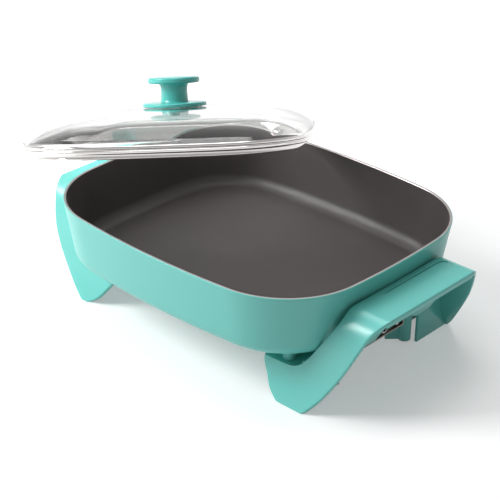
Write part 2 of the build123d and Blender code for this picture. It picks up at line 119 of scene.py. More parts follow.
class Graph:
    """The nodes of a material or of the world, made from Python expressions."""

    def __init__(self, owner: bpy.types.Material | bpy.types.World) -> None:
        """Empties the node tree.

        Args:
            owner: The new material or world.
        """
        owner.use_nodes = True
        self.owner = owner
        self.tree = owner.node_tree
        self.tree.nodes.clear()

    def node(self, kind: str, settings: dict[str, object], values: Values) -> bpy.types.Node:
        """Adds a node.

        Args:
            kind: The node's type, such as ShaderNodeMath.
            settings: The node's own properties, which are set first. A ramp's two stops go under "stops".
            values: Numbers, colours or signals for its inputs, by name or by place.

        Returns:
            The new node.
        """
        made = self.tree.nodes.new(kind)
        for name, value in settings.items():
            if name == "stops":
                for element, (place, colour) in zip(made.color_ramp.elements, value):
                    element.position, element.color = place, (*colour, 1.0)
            else:
                setattr(made, name, value)
        for place, value in values.items():
            target = made.inputs[place]
            if isinstance(value, Signal):
                self.tree.links.new(value.socket, target)
            else:
                target.default_value = value
        return made

    def signal(self, kind: str, settings: dict[str, object], values: Values, output: str | int = 0) -> Signal:
        """Adds a node and wraps one of its outputs."""
        return Signal(self, self.node(kind, settings, values).outputs[output])

    def math(self, operation: str, first: Signal | float, second: Signal | float) -> Signal:
        """Adds a Math node."""
        return self.signal("ShaderNodeMath", {"operation": operation}, {0: first, 1: second})

    def remap(self, value: Signal, source: Pair, target: Pair) -> Signal:
        """Carries the source range onto the target range and holds the result inside it."""
        values = {"Value": value, "From Min": source[0], "From Max": source[1]}
        return self.signal("ShaderNodeMapRange", {}, {**values, "To Min": target[0], "To Max": target[1]})

    def rays(self, *kinds: str) -> Signal:
        """Tells kinds of ray from the rest.

        Args:
            kinds: The kinds, such as Camera.

        Returns:
            1 for a ray of one of the kinds, and otherwise 0.
        """
        path = self.node("ShaderNodeLightPath", {}, {})
        made = [Signal(self, path.outputs[f"Is {kind} Ray"]) for kind in kinds]
        while len(made) > 1:
            made = [self.math("MAXIMUM", made[0], made[1]), *made[2:]]
        return made[0]

    def place(self, scale: Point = (1.0, 1.0, 1.0), turn: Point = (0.0, 0.0, 0.0)) -> Signal:
        """Object coordinates in metres, turned in radians and stretched."""
        at = self.signal("ShaderNodeTexCoord", {}, {}, "Object")
        return self.signal("ShaderNodeMapping", {}, {"Vector": at, "Rotation": turn, "Scale": scale})

    def noise(
        self, scale: float, detail: float = 2.0, rough: float = 0.5, at: Signal | None = None
    ) -> Signal:
        """Noise from 0 to 1, at object coordinates where no others are given."""
        values = {"Vector": at or self.place(), "Scale": scale, "Detail": detail, "Roughness": rough}
        return self.signal("ShaderNodeTexNoise", {}, values)

    def mask(self, at: Signal, stops: Sequence[tuple[float, Colour]]) -> Signal:
        """The level of a grey ramp along a signal."""
        colour = self.signal("ShaderNodeValToRGB", {"stops": stops}, {0: at}, "Color")
        return self.signal("ShaderNodeSeparateColor", {}, {0: colour})

    def blend(self, factor: Signal, first: Signal | Colour, second: Signal | Colour) -> Signal:
        """Mixes two colours by a factor."""
        pair = [value if isinstance(value, Signal) else (*value, 1.0) for value in (first, second)]
        return self.signal("ShaderNodeMix", {"data_type": "RGBA"}, {0: factor, 6: pair[0], 7: pair[1]}, 2)

    def bump(self, height: Signal, strength: float, distance: float) -> Signal:
        """A bumped normal from a height signal."""
        values = {"Height": height, "Strength": strength, "Distance": distance}
        return self.signal("ShaderNodeBump", {}, values)

    def close(self, shader: Signal, kind: str = "Material") -> bpy.types.Material | bpy.types.World:
        """Links the shader to the output of the material or the world."""
        self.node(f"ShaderNodeOutput{kind}", {}, {"Surface": shader})
        return self.owner

    def coat(self, values: Values) -> bpy.types.Material:
        """Closes the material with a Principled shader."""
        return self.close(self.signal("ShaderNodeBsdfPrincipled", {}, values))


def tinted(colour: Colour, factor: float) -> Colour:
    """A colour made darker or lighter, up to white."""
    return tuple(min(channel * factor, 1.0) for channel in colour)


# ---------------------------------------------------------------- finishes
@dataclass(frozen=True)
class MouldedPlastic:
    """Semi-gloss coloured plastic with faint flow marks and a fine skin."""

    name: str
    colour: Colour
    roughness: float = 0.24
    flow: float = 0.012
    grain: float = 0.008

    def make(self) -> bpy.types.Material:
        """Builds the material.

        Returns:
            The material.
        """
        graph = Graph(bpy.data.materials.new(self.name))
        dark, light = tinted(self.colour, 1.0 - self.flow), tinted(self.colour, 1.0 + self.flow)
        return graph.coat(
            {
                "Base Color": graph.blend(graph.noise(14.0, 3.0), dark, light),
                "Roughness": self.roughness - 0.02 + 0.04 * graph.noise(55.0, 4.0, 0.6),
                "Normal": graph.bump(graph.noise(1400.0, 1.0), self.grain, 0.0004),
                "IOR": 1.5,
            }
        )


@dataclass(frozen=True)
class Enamel:
    """Satin coloured coating on the pan's outside, with a faint sprayed texture."""

    name: str
    colour: Colour
    roughness: float = 0.36

    def make(self) -> bpy.types.Material:
        """Builds the material.

        Returns:
            The material.
        """
        graph = Graph(bpy.data.materials.new(self.name))
        peel, fine = graph.noise(420.0), graph.noise(2200.0, 1.0)
        return graph.coat(
            {
                "Base Color": graph.blend(graph.noise(9.0), tinted(self.colour, 0.97), self.colour),
                "Roughness": self.roughness - 0.03 + 0.06 * peel,
                "Normal": graph.bump(peel + fine * 0.4, 0.05, 0.0005),
                "IOR": 1.5,
            }
        )


@dataclass(frozen=True)
class NonStick:
    """Dark grey non-stick coating with fine mineral specks."""

    name: str
    colour: Colour
    speck: Colour = (0.16, 0.145, 0.14)

    def make(self) -> bpy.types.Material:
        """Builds the material.

        Returns:
            The material.
        """
        graph = Graph(bpy.data.materials.new(self.name))
        black, white = (0.0, 0.0, 0.0), (1.0, 1.0, 1.0)
        seeds = {"Vector": graph.place(), "Scale": 900.0}
        cells = graph.signal("ShaderNodeTexVoronoi", {"feature": "F1"}, seeds)
        dots = graph.mask(cells, [(0.0, white), (0.16, black)])
        fields = graph.mask(graph.noise(260.0, 1.0), [(0.52, black), (0.60, white)])
        cloud = graph.noise(11.0, 3.0)
        base = graph.blend(cloud, tinted(self.colour, 0.85), tinted(self.colour, 1.15))
        return graph.coat(
            {
                "Base Color": graph.blend(dots * fields * 0.5, base, self.speck),
                "Roughness": 0.42 + 0.1 * cloud,
                "Normal": graph.bump(graph.noise(1500.0), 0.06, 0.0004),
                "IOR": 1.45,
            }
        )


@dataclass(frozen=True)
class Metal:
    """Bare metal with fine lines, heat colours or a plated bloom."""

    name: str
    colour: Colour
    roughness: float
    stretch: Point = (60.0, 60.0, 60.0)
    turn: Point = (0.0, 0.0, 0.0)
    lines: float = 0.05
    tint: Colour | None = None

    def make(self) -> bpy.types.Material:
        """Builds the material.

        Returns:
            The material.
        """
        graph = Graph(bpy.data.materials.new(self.name))
        streaks = graph.noise(1.0, 3.0, 0.6, graph.place(self.stretch, self.turn))
        other = self.tint or tinted(self.colour, 0.9)
        return graph.coat(
            {
                "Base Color": graph.blend(graph.noise(70.0, 3.0), self.colour, other),
                "Metallic": 1.0,
                "Roughness": self.roughness - self.lines + 2.0 * self.lines * streaks,
                "Normal": graph.bump(streaks, 0.04, 0.0003),
            }
        )


@dataclass(frozen=True)
class SoftRubber:
    """Matte silicone or ceramic with a faintly mottled skin."""

    name: str
    colour: Colour
    roughness: float

    def make(self) -> bpy.types.Material:
        """Builds the material.

        Returns:
            The material.
        """
        graph = Graph(bpy.data.materials.new(self.name))
        mottle = graph.noise(160.0, 3.0)
        return graph.coat(
            {
                "Base Color": graph.blend(mottle, tinted(self.colour, 0.9), self.colour),
                "Roughness": self.roughness - 0.05 + 0.1 * mottle,
                "Normal": graph.bump(mottle, 0.08, 0.0004),
            }
        )


@dataclass(frozen=True)
class ClearGlass:
    """Clear tempered glass that lets the lamps' light through to what it covers."""

    name: str
    colour: Colour
    shadow: Colour = (0.93, 0.95, 0.945)

    def make(self) -> bpy.types.Material:
        """Builds the material.

        Returns:
            The material.
        """
        graph = Graph(bpy.data.materials.new(self.name))
        film = 0.012 * graph.noise(24.0, 3.0)
        looks = {"Base Color": (*self.colour, 1.0), "Roughness": film, "Transmission Weight": 1.0}
        glass = graph.signal("ShaderNodeBsdfPrincipled", {}, {**looks, "IOR": 1.47})
        clear = graph.signal("ShaderNodeBsdfTransparent", {}, {"Color": (*self.shadow, 1.0)})
        choice = {0: graph.rays("Shadow"), 1: glass, 2: clear}
        return graph.close(graph.signal("ShaderNodeMixShader", {}, choice))


@dataclass(frozen=True)
class PaleFloor:
    """White floor that takes the object's shadow and glows white away from it."""

    name: str
    colour: Colour
    glow: float = 0.34
    fade: Pair = (0.7, 2.6)

    def make(self) -> bpy.types.Material:
        """Builds the material.

        Returns:
            The material.
        """
        graph = Graph(bpy.data.materials.new(self.name))
        paper = graph.blend(graph.noise(3.0), self.colour, tinted(self.colour, 0.985))
        away = graph.signal("ShaderNodeVectorMath", {"operation": "LENGTH"}, {0: graph.place()}, "Value")
        seen = graph.rays("Camera", "Glossy", "Transmission")
        lit = graph.signal("ShaderNodeBsdfDiffuse", {}, {"Color": paper})
        level = seen * graph.remap(away, self.fade, (self.glow, 1.0))
        glow = graph.signal("ShaderNodeEmission", {}, {"Strength": level})
        return graph.close(graph.signal("ShaderNodeAddShader", {}, {0: lit, 1: glow}))


class Finishes:
    """Every material of the skillet, made once."""

    def __init__(self, lid_turn: Point) -> None:
        """Makes the materials.

        Args:
            lid_turn: The lid's turn in radians, which lays the band's fine lines along it.
        """
        steel = Metal("polished_steel", (0.78, 0.76, 0.74), 0.09, (6.0, 6.0, 1500.0), lid_turn, lines=0.03)
        self.plastic = MouldedPlastic("aqua_plastic", (0.15, 0.565, 0.515)).make()
        self.knob = MouldedPlastic("knob_plastic", (0.085, 0.50, 0.455), roughness=0.22).make()
        self.bush = MouldedPlastic("bush_plastic", (0.16, 0.56, 0.52), roughness=0.38).make()
        self.enamel = Enamel("aqua_enamel", (0.145, 0.54, 0.49)).make()
        self.coating = NonStick("nonstick_coating", (0.050, 0.043, 0.042)).make()
        self.bare_edge = Metal("bare_aluminium", (0.62, 0.56, 0.55), 0.32).make()
        self.glass = ClearGlass("clear_glass", (0.915, 0.92, 0.915)).make()
        self.band = steel.make()
        self.zinc = Metal("zinc_plate", (0.66, 0.67, 0.68), 0.33).make()
        # Dark heat-tinted steel for the element. The terminal guard uses it too, where the darkness is partly
        # painted shade for the shade under the right handle.
        self.heat_tint_and_guard_shade = Metal("element_sheath", (0.30, 0.29, 0.28), 0.40, tint=(0.24, 0.20, 0.17)).make()
        self.ceramic = SoftRubber("ceramic_bead", (0.84, 0.82, 0.76), 0.45).make()
        self.silicone = SoftRubber("silicone", (0.55, 0.74, 0.71), 0.42).make()


# ---------------------------------------------------------------- lines and rings
def unit(vectors: np.ndarray) -> np.ndarray:
    """Scales each row to length 1."""
    return vectors / np.linalg.norm(vectors, axis=1)[:, None]


def left_of(ahead: np.ndarray) -> np.ndarray:
    """Turns each row a quarter to the left."""
    return np.column_stack([-ahead[:, 1], ahead[:, 0]])


def level(flat: np.ndarray, height: float) -> np.ndarray:
    """Lays points of the plane at a height."""
    return np.column_stack([flat, np.full(len(flat), height)])


def ways(line: np.ndarray) -> np.ndarray:
    """The length of a line up to each of its points."""
    return np.concatenate([[0.0], np.cumsum(np.linalg.norm(np.diff(line, axis=0), axis=1))])


def circle(segments: int) -> np.ndarray:
    """Points round a circle of radius 1."""
    turns = np.linspace(0.0, 2.0 * math.pi, segments, endpoint=False)
    return np.column_stack([np.cos(turns), np.sin(turns)])


def arc(centre: Pair, radius: float, start: float, end: float, steps: int) -> list[Pair]:
    """Points of an arc between two angles in degrees."""
    angles = np.radians(np.linspace(start, end, steps + 1))
    return [(centre[0] + radius * math.cos(a), centre[1] + radius * math.sin(a)) for a in angles]


def mirrored(place: Pair, height: float) -> list[Point]:
    """The four mirror places of a place, at a height."""
    return [(right * place[0], back * place[1], height) for right in (1, -1) for back in (1, -1)]


class SmoothCurve:
    """A cubic curve through points with given directions at its ends."""

    def __init__(self, points: Sequence[Pair], start: Pair, end: Pair) -> None:
        """Solves the curve.

        Args:
            points: The points that it passes.
            start: Its direction at the first point.
            end: Its direction at the last point.
        """
        self.points = np.array(points, float)
        self.knots = ways(self.points)
        gaps = np.diff(self.knots)
        count = len(self.points)
        system = np.eye(count)
        values = np.zeros((count, 2))
        values[0] = np.array(start) / np.linalg.norm(start)
        values[-1] = np.array(end) / np.linalg.norm(end)
        for place in range(1, count - 1):
            before, after = gaps[place - 1], gaps[place]
            system[place, place - 1 : place + 2] = (after, 2.0 * (before + after), before)
            rise = after * (self.points[place] - self.points[place - 1]) / before
            fall = before * (self.points[place + 1] - self.points[place]) / after
            values[place] = 3.0 * (rise + fall)
        self.slopes = np.linalg.solve(system, values)

    def sample(self, count: int) -> np.ndarray:
        """Spreads points evenly along the chord lengths.

        Args:
            count: How many points.

        Returns:
            An array of pairs.
        """
        made = []
        for at in np.linspace(0.0, self.knots[-1], count):
            place = min(int(np.searchsorted(self.knots, at, side="right")) - 1, len(self.knots) - 2)
            gap = self.knots[place + 1] - self.knots[place]
            t = (at - self.knots[place]) / gap
            first, last = self.points[place], self.points[place + 1]
            point = (2 * t**3 - 3 * t**2 + 1) * first + (3 * t**2 - 2 * t**3) * last
            point = point + gap * ((t**3 - 2 * t**2 + t) * self.slopes[place])
            made.append(point + gap * (t**3 - t**2) * self.slopes[place + 1])
        return np.array(made)


@dataclass(frozen=True)
class BowedOutline:
    """A rectangle with gently bowed sides and round corners, which keeps its arcs' centres when inset."""

    half_x: float
    half_y: float
    long_radius: float
    short_radius: float
    corner: float
    long_steps: int = 14
    short_steps: int = 12
    corner_steps: int = 22

    def grown(self, by: float) -> "BowedOutline":
        """The same outline moved outward."""
        sizes = (self.half_x, self.half_y, self.long_radius, self.short_radius, self.corner)
        return BowedOutline(*(size + by for size in sizes))

    def corner_centre(self) -> Pair:
        """Finds where the corner's arc touches both sides' arcs.

        Returns:
            The centre of the corner's arc in the first quadrant.
        """
        long_centre = self.half_y - self.long_radius
        short_centre = self.half_x - self.short_radius
        reach_long = self.long_radius - self.corner
        reach_short = self.short_radius - self.corner
        gap = math.hypot(short_centre, long_centre)
        along = (reach_short**2 - reach_long**2 + gap**2) / (2.0 * gap)
        side = math.sqrt(reach_short**2 - along**2)
        unit_x, unit_y = -short_centre / gap, long_centre / gap
        return (short_centre + along * unit_x - side * unit_y, along * unit_y + side * unit_x)

    def quadrant(self) -> list[tuple[Pair, float, float]]:
        """Divides the three arcs from +X to +Y.

        Returns:
            Arc centre, arc radius and normal angle of each point.
        """
        corner = self.corner_centre()
        short_centre = (self.half_x - self.short_radius, 0.0)
        long_centre = (0.0, self.half_y - self.long_radius)
        low = math.atan2(corner[1], corner[0] - short_centre[0])
        high = math.atan2(corner[1] - long_centre[1], corner[0])
        arcs = (
            (short_centre, self.short_radius, 0.0, low, self.short_steps),
            (corner, self.corner, low, high, self.corner_steps),
            (long_centre, self.long_radius, high, math.pi / 2, self.long_steps),
        )
        made = []
        for centre, radius, start, end, steps in arcs:
            made += [(centre, radius, angle) for angle in np.linspace(start, end, steps, endpoint=False)]
        return made

    def ring(self, inset: float, height: float, share: float = 1.0) -> np.ndarray:
        """The outline moved inward and scaled about its centre.

        Args:
            inset: How far it is moved inward.
            height: Its height.
            share: Its scale.

        Returns:
            Points round the outline, counter-clockwise from +X.
        """
        right = []
        for (x, y), radius, angle in self.quadrant():
            reach = radius - inset
            right.append((x + reach * math.cos(angle), y + reach * math.sin(angle)))
        left = [(-x, y) for x, y in reversed(right)]
        upper = [*right, (0.0, self.half_y - inset), *left]
        lower = [(x, -y) for x, y in reversed(upper[1:-1])]
        return level(np.array(upper + lower) * share, height)


def rounded_path(corners: Sequence[Pair], radius: float, steps: int) -> np.ndarray:
    """A path through corners, each rounded by an arc.

    Args:
        corners: The corners in order.
        radius: The arcs' radius.
        steps: The steps of each arc.

    Returns:
        The path's points.
    """
    points = np.array(corners, float)
    made = [points[0]]
    for before, point, after in zip(points, points[1:], points[2:]):
        back, forth = unit(np.array([before - point, after - point]))
        half = math.acos(float(np.clip(back @ forth, -1.0, 1.0))) / 2.0
        reach = radius / math.tan(half)
        middle = (back + forth) / np.linalg.norm(back + forth)
        centre = point + middle * radius / math.sin(half)
        first, last = point + back * reach - centre, point + forth * reach - centre
        start = math.atan2(first[1], first[0])
        sweep = (math.atan2(last[1], last[0]) - start + math.pi) % (2.0 * math.pi) - math.pi
        for angle in start + sweep * np.linspace(0.0, 1.0, steps + 1):
            made.append(centre + radius * np.array((math.cos(angle), math.sin(angle))))
    return np.array([*made, points[-1]])


def swept(path: np.ndarray, section: Sequence[Pair]) -> list[np.ndarray]:
    """Rings of an upright section along a path in the plane.

    Args:
        path: The path's points in X and Y.
        section: Offset to the path's left and height of each point.

    Returns:
        A ring for each point of the path.
    """
    offsets, heights = np.array(section).T
    sides = left_of(unit(np.gradient(path, axis=0)))
    return [np.column_stack([point + offsets[:, None] * side, heights]) for point, side in zip(path, sides)]


# ---------------------------------------------------------------- meshes
def link(name: str, data: bpy.types.ID) -> bpy.types.Object:
    """Puts an object in the scene.

    Args:
        name: The object's name.
        data: Its mesh, lamp or camera.

    Returns:
        The object.
    """
    made = bpy.data.objects.new(name, data)
    bpy.context.scene.collection.objects.link(made)
    return made


def shade(mesh: bpy.types.Mesh) -> None:
    """Shades a mesh smooth, with its sharp edges kept.

    Args:
        mesh: The mesh to shade.
    """
    mesh.polygons.foreach_set("use_smooth", [True] * len(mesh.polygons))
    mesh.set_sharp_from_angle(angle=SMOOTH_ANGLE)
    mesh.update()


def bake_modifiers(piece: bpy.types.Object) -> None:
    """Applies a piece's modifiers to its mesh.

    Args:
        piece: The piece, which keeps its name.
    """
    bpy.context.view_layer.update()
    graph = bpy.context.evaluated_depsgraph_get()
    mesh = bpy.data.meshes.new_from_object(piece.evaluated_get(graph))
    piece.modifiers.clear()
    piece.data = mesh
    mesh.name = piece.name
    shade(mesh)


def join(first: bpy.types.Object, second: bpy.types.Object) -> None:
    """Joins two meshes of the same finish.

    Args:
        first: The piece that stays.
        second: The piece that is added to it and removed.
    """
    work = bmesh.new()
    work.from_mesh(first.data)
    work.from_mesh(second.data)
    work.to_mesh(first.data)
    work.free()
    bpy.data.objects.remove(second)
    shade(first.data)


def settle(piece: bpy.types.Object, body: Body, node: str) -> None:
    """Declares a finished piece to the frame.

    Args:
        piece: The piece.
        body: The body that it rides on.
        node: The CAD node that it replaces.
    """
    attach(piece, body.value)
    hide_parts(node)
    LOG.info("%s: %d faces, replaces %s", piece.name, len(piece.data.polygons), node)


class Draft:
    """Collects closed shells in millimetres and turns them into one object."""

    def __init__(self) -> None:
        """Starts with nothing."""
        self.points: list[Point] = []
        self.faces: list[tuple[int, ...]] = []
        self.slots: list[int] = []

    def stack(
        self,
        rings: Sequence[np.ndarray],
        slots: Sequence[int] | None = None,
        loop: bool = False,
        ends: tuple[End, End] = (End.OPEN, End.OPEN),
    ) -> None:
        """Joins rings of points, each a closed loop, into a surface.

        Args:
            rings: Arrays of the same number of points.
            slots: The finish of each band between two rings, or the first finish for all.
            loop: Whether the last ring joins the first.
            ends: How the first and the last ring are closed.
        """
        count, base = len(rings[0]), len(self.points)
        bands = len(rings) if loop else len(rings) - 1
        coats = slots or [0] * bands
        for ring in rings:
            self.points.extend(tuple(point) for point in np.asarray(ring, float))
        for row in range(bands):
            low = base + row * count
            high = base + ((row + 1) % len(rings)) * count
            for place in range(count):
                after = (place + 1) % count
                self.add_face(coats[row], low + place, low + after, high + after, high + place)
        for end, first, coat in zip(ends, (base, base + (len(rings) - 1) * count), (coats[0], coats[-1])):
            if end is End.FACE:
                self.add_face(coat, *range(first, first + count))
            elif end is End.POLE:
                self.points.append(tuple(np.mean(self.points[first : first + count], axis=0)))
                for place in range(count):
                    self.add_face(coat, first + place, first + (place + 1) % count, len(self.points) - 1)

    def add_face(self, slot: int, *corners: int) -> None:
        """Adds one face with its finish."""
        self.faces.append(corners)
        self.slots.append(int(slot))

    def prism(self, outline: Sequence[Pair], low: float, high: float, axis: Axis, edge: float) -> None:
        """Adds a plate with softened edges.

        Args:
            outline: The plate's corners in its own plane, counter-clockwise.
            low: Where the plate starts along its axis.
            high: Where it ends.
            axis: The axis that it stands across.
            edge: The width of the softened edge.
        """
        corners = np.array(outline, float)
        before = unit(corners - np.roll(corners, 1, axis=0))
        after = unit(np.roll(corners, -1, axis=0) - corners)
        inward = left_of(before + after) / np.maximum(1.0 + (before * after).sum(axis=1), 0.3)[:, None]
        softened = ((1.0, 0.0), (0.3, 0.3), (0.0, 1.0))
        steps = [(corners + inward * edge * share, edge * depth) for share, depth in softened]
        rings = [level(ring, low + depth) for ring, depth in steps]
        rings += [level(ring, high - depth) for ring, depth in reversed(steps)]
        self.stack([ring[:, axis.value] for ring in rings], ends=(End.FACE, End.FACE))

    def lathe(self, profile: Sequence[Pair], centre: Pair = (0.0, 0.0), segments: int = 96) -> None:
        """Turns a profile about an upright axis.

        Args:
            profile: Radius and height of each point. A radius of 0 at an end closes that end flat, and
                otherwise the profile closes on itself.
            centre: X and Y of the axis.
            segments: Steps round the axis.
        """
        turn, middle = circle(segments), np.array(centre)
        rings = [level(middle + radius * turn, height) for radius, height in profile if radius > 0.0]
        first, last = (End.OPEN if radius > 0.0 else End.POLE for radius in (profile[0][0], profile[-1][0]))
        self.stack(rings, loop=first is last is End.OPEN, ends=(first, last))

    def place(self, turn: Matrix) -> None:
        """Moves all points by a matrix in millimetres."""
        self.points = [tuple(turn @ Vector(point)) for point in self.points]

    def make(self, name: str, *finishes: bpy.types.Material) -> bpy.types.Object:
        """Turns the shells into a smooth-shaded object at the origin.

        Args:
            name: The object's name.
            finishes: Materials in the order of the slots.

        Returns:
            The linked object.
        """
        mesh = bpy.data.meshes.new(name)
        mesh.from_pydata([tuple(value * MM for value in point) for point in self.points], [], self.faces)
        for finish in finishes:
            mesh.materials.append(finish)
        mesh.polygons.foreach_set("material_index", self.slots)
        work = bmesh.new()
        work.from_mesh(mesh)
        bmesh.ops.remove_doubles(work, verts=work.verts, dist=1e-6)
        bmesh.ops.recalc_face_normals(work, faces=work.faces)
        work.to_mesh(mesh)
        work.free()
        shade(mesh)
        return link(name, mesh)


# ---------------------------------------------------------------- screw places
@dataclass(frozen=True)
class ScrewPlan:
    """Where the pan, the handles and the inlet's guard are screwed together."""

    tower: Pair = (151.4, 54.9)
    standoff: Pair = (125.0, 87.0)
    guard: Pair = (148.0, 36.0)
    boss_depth: float = 5.0
    shelf_top: float = 33.0
    shank_hole: float = 2.8

    def guard_places(self, height: float) -> list[Point]:
        """The guard's two screw places at a height."""
        return [(self.guard[0], back * self.guard[1], height) for back in (1, -1)]


# ---------------------------------------------------------------- pan
@dataclass
class Pan:
    """The cast pan: coated inside, enamelled outside, with the element's rib and bosses underneath."""

    finishes: Finishes
    plan: ScrewPlan
    length: float = 360.0
    width: float = 300.0
    rim_height: float = 119.5
    depth: float = 69.0
    bottom_inset: float = 10.9
    wall: float = 3.0
    floor: float = 5.0
    long_radius: float = 967.0
    short_radius: float = 896.0
    corner: float = 89.0
    bottom_edge: float = 17.0
    cavity_edge: float = 14.0
    rim_edge: float = 0.8
    floor_shares: tuple[float, ...] = (0.03, 0.3, 0.6, 0.85)
    wall_shares: tuple[float, ...] = (0.25, 0.5, 0.75, 0.93)
    cavity_shares: tuple[float, ...] = (0.1, 0.35, 0.65)
    boss_radius: float = 8.0
    guard_boss_radius: float = 5.5
    boss_edge: float = 0.8
    rib_width: float = 15.0
    rib_bottom: float = 38.5
    rib_edge: float = 3.0
    rooted: float = 1.0
    loop: tuple[Pair, ...] = ((150.0, 17.0), (104.0, 17.0), (104.0, 88.0), (-104.0, 88.0))
    loop_radius: float = 24.0
    sensor_boss: tuple[Pair, ...] = ((110.0, 0.0), (152.0, 0.0))

    @property
    def bottom(self) -> float:
        """The height of the underside."""
        return self.rim_height - self.depth

    @property
    def inner_floor(self) -> float:
        """The height of the cavity's floor."""
        return self.bottom + self.floor

    def outline(self) -> BowedOutline:
        """The rim's outline."""
        half = (self.length / 2.0, self.width / 2.0)
        return BowedOutline(*half, self.long_radius, self.short_radius, self.corner)

    def section(self) -> list[tuple[float, float, PanCoat]]:
        """Draws the wall from the underside over the rim to the inner floor.

        Returns:
            Inset, height and finish of each ring.
        """
        slope = self.bottom_inset / self.depth
        lean = math.degrees(math.atan(slope))
        cosine = math.cos(math.radians(lean))
        top, edge = self.rim_height, self.rim_edge
        centre = (self.depth - self.bottom_edge) * slope + self.bottom_edge / cosine
        outer = arc((centre, self.bottom + self.bottom_edge), self.bottom_edge, 270.0, 180.0 + lean, 12)
        start = outer[-1][1]
        heights = [start + share * (top - start) for share in self.wall_shares]
        outer += [((top - height) * slope, height) for height in heights]
        outer += arc((edge, top - edge), edge, 180.0, 90.0, 4)
        made = [(*point, PanCoat.ENAMEL) for point in outer[:-1]]
        made += [(*outer[-1], PanCoat.BARE), (self.wall / 2.0, top, PanCoat.BARE)]
        for inset, height in arc((self.wall - edge, top - edge), edge, 90.0, 0.0, 4):
            made.append((inset, height, PanCoat.BARE if height > top - 0.3 * edge else PanCoat.NONSTICK))
        centre = (top - self.inner_floor - self.cavity_edge) * slope + self.wall + self.cavity_edge / cosine
        inner = arc((centre, self.inner_floor + self.cavity_edge), self.cavity_edge, 180.0 + lean, 270.0, 12)
        heights = [top - share * (top - inner[0][1]) for share in self.cavity_shares]
        inner = [((top - height) * slope + self.wall, height) for height in heights] + inner
        return made + [(*point, PanCoat.NONSTICK) for point in inner]

    def build(self) -> None:
        """Makes the pan and settles it on the base."""
        outline, section = self.outline(), self.section()
        shares = self.floor_shares
        rings = [outline.ring(section[0][0], self.bottom, share) for share in shares]
        rings += [outline.ring(inset, height) for inset, height, _ in section]
        rings += [outline.ring(section[-1][0], self.inner_floor, share) for share in reversed(shares)]
        slots = [PanCoat.ENAMEL] * len(shares) + [coat for _, _, coat in section]
        slots += [PanCoat.NONSTICK] * (len(shares) - 1)
        draft = Draft()
        draft.stack(rings, slots, ends=(End.POLE, End.POLE))
        self.add_rib(draft)
        self.add_bosses(draft)
        look = self.finishes
        piece = draft.make("pan", look.enamel, look.bare_edge, look.coating)
        settle(piece, Body.BASE, "pan_body")

    def add_rib(self, draft: Draft) -> None:
        """Adds the rib that holds the element, and the sensor's boss.

        Args:
            draft: The pan's shells.
        """
        low, high = self.rib_bottom, self.bottom + self.rooted
        half, edge = self.rib_width / 2.0, self.rib_edge
        section = [(-half, high), *arc((-half + edge, low + edge), edge, 180.0, 270.0, 5)]
        section += [*arc((half - edge, low + edge), edge, 270.0, 360.0, 5), (half, high)]
        corners = [(x, -y) for x, y in self.loop] + list(reversed(self.loop))
        for path in (rounded_path(corners, self.loop_radius, 8), np.array(self.sensor_boss)):
            draft.stack(swept(path, section), ends=(End.FACE, End.FACE))

    def add_bosses(self, draft: Draft) -> None:
        """Adds the round screw bosses under the pan.

        Args:
            draft: The pan's shells.
        """
        low, high, edge = self.bottom - self.plan.boss_depth, self.bottom + self.rooted, self.boss_edge
        places = [(place, self.boss_radius) for place in mirrored(self.plan.tower, 0.0)]
        places += [(place, self.boss_radius) for place in mirrored(self.plan.standoff, 0.0)]
        places += [(place, self.guard_boss_radius) for place in self.plan.guard_places(0.0)]
        for (x, y, _), radius in places:
            foot = arc((radius - edge, low + edge), edge, 270.0, 360.0, 3)
            draft.lathe([(0.0, low), *foot, (radius, high), (0.0, high)], (x, y), 40)


# ---------------------------------------------------------------- handles
@dataclass
class LegProfile:
    """The line of grip and legs seen along X, from the floor up to the grip's middle."""

    grip_top: float = 100.4
    grip_half: float = 62.0
    foot_half: float = 113.0
    flare: tuple[Pair, ...] = ((103.0, 20.0), (97.0, 40.0), (92.3, 60.0), (85.6, 79.0))
    shoulder: tuple[Pair, ...] = ((79.5, 90.0), (72.0, 96.6))
    leg_steps: int = 400
    grip_steps: int = 80

    def __post_init__(self) -> None:
        """Samples the line with its ways and its outward normals."""
        points = [(self.foot_half, 0.0), *self.flare, *self.shoulder, (self.grip_half, self.grip_top)]
        self.leg = SmoothCurve(points, (-0.45, 0.9), (-1.0, 0.0)).sample(self.leg_steps)
        grip = level(np.linspace(self.grip_half, 0.0, self.grip_steps)[1:, None], self.grip_top)
        self.line = np.vstack([self.leg, grip])
        self.way = ways(self.line)
        self.grip_way = self.way[self.leg_steps - 1]
        self.outward = -left_of(unit(np.gradient(self.line, axis=0)))

    def at(self, way: float) -> tuple[np.ndarray, np.ndarray]:
        """Finds a point of the line.

        Args:
            way: Its way from the floor.

        Returns:
            The point and its outward normal, each as Y and Z.
        """
        both = (self.line, self.outward)
        point, normal = (np.array([np.interp(way, self.way, row) for row in values.T]) for values in both)
        return point, normal / np.linalg.norm(normal)

    def way_at(self, height: float) -> float:
        """The way from the floor at which the leg reaches a height."""
        return float(np.interp(height, self.leg[:, 1], self.way[: self.leg_steps]))

    def reach(self, height: float) -> float:
        """Half the span of the legs at a height."""
        return float(np.interp(height, self.leg[:, 1], self.leg[:, 0]))


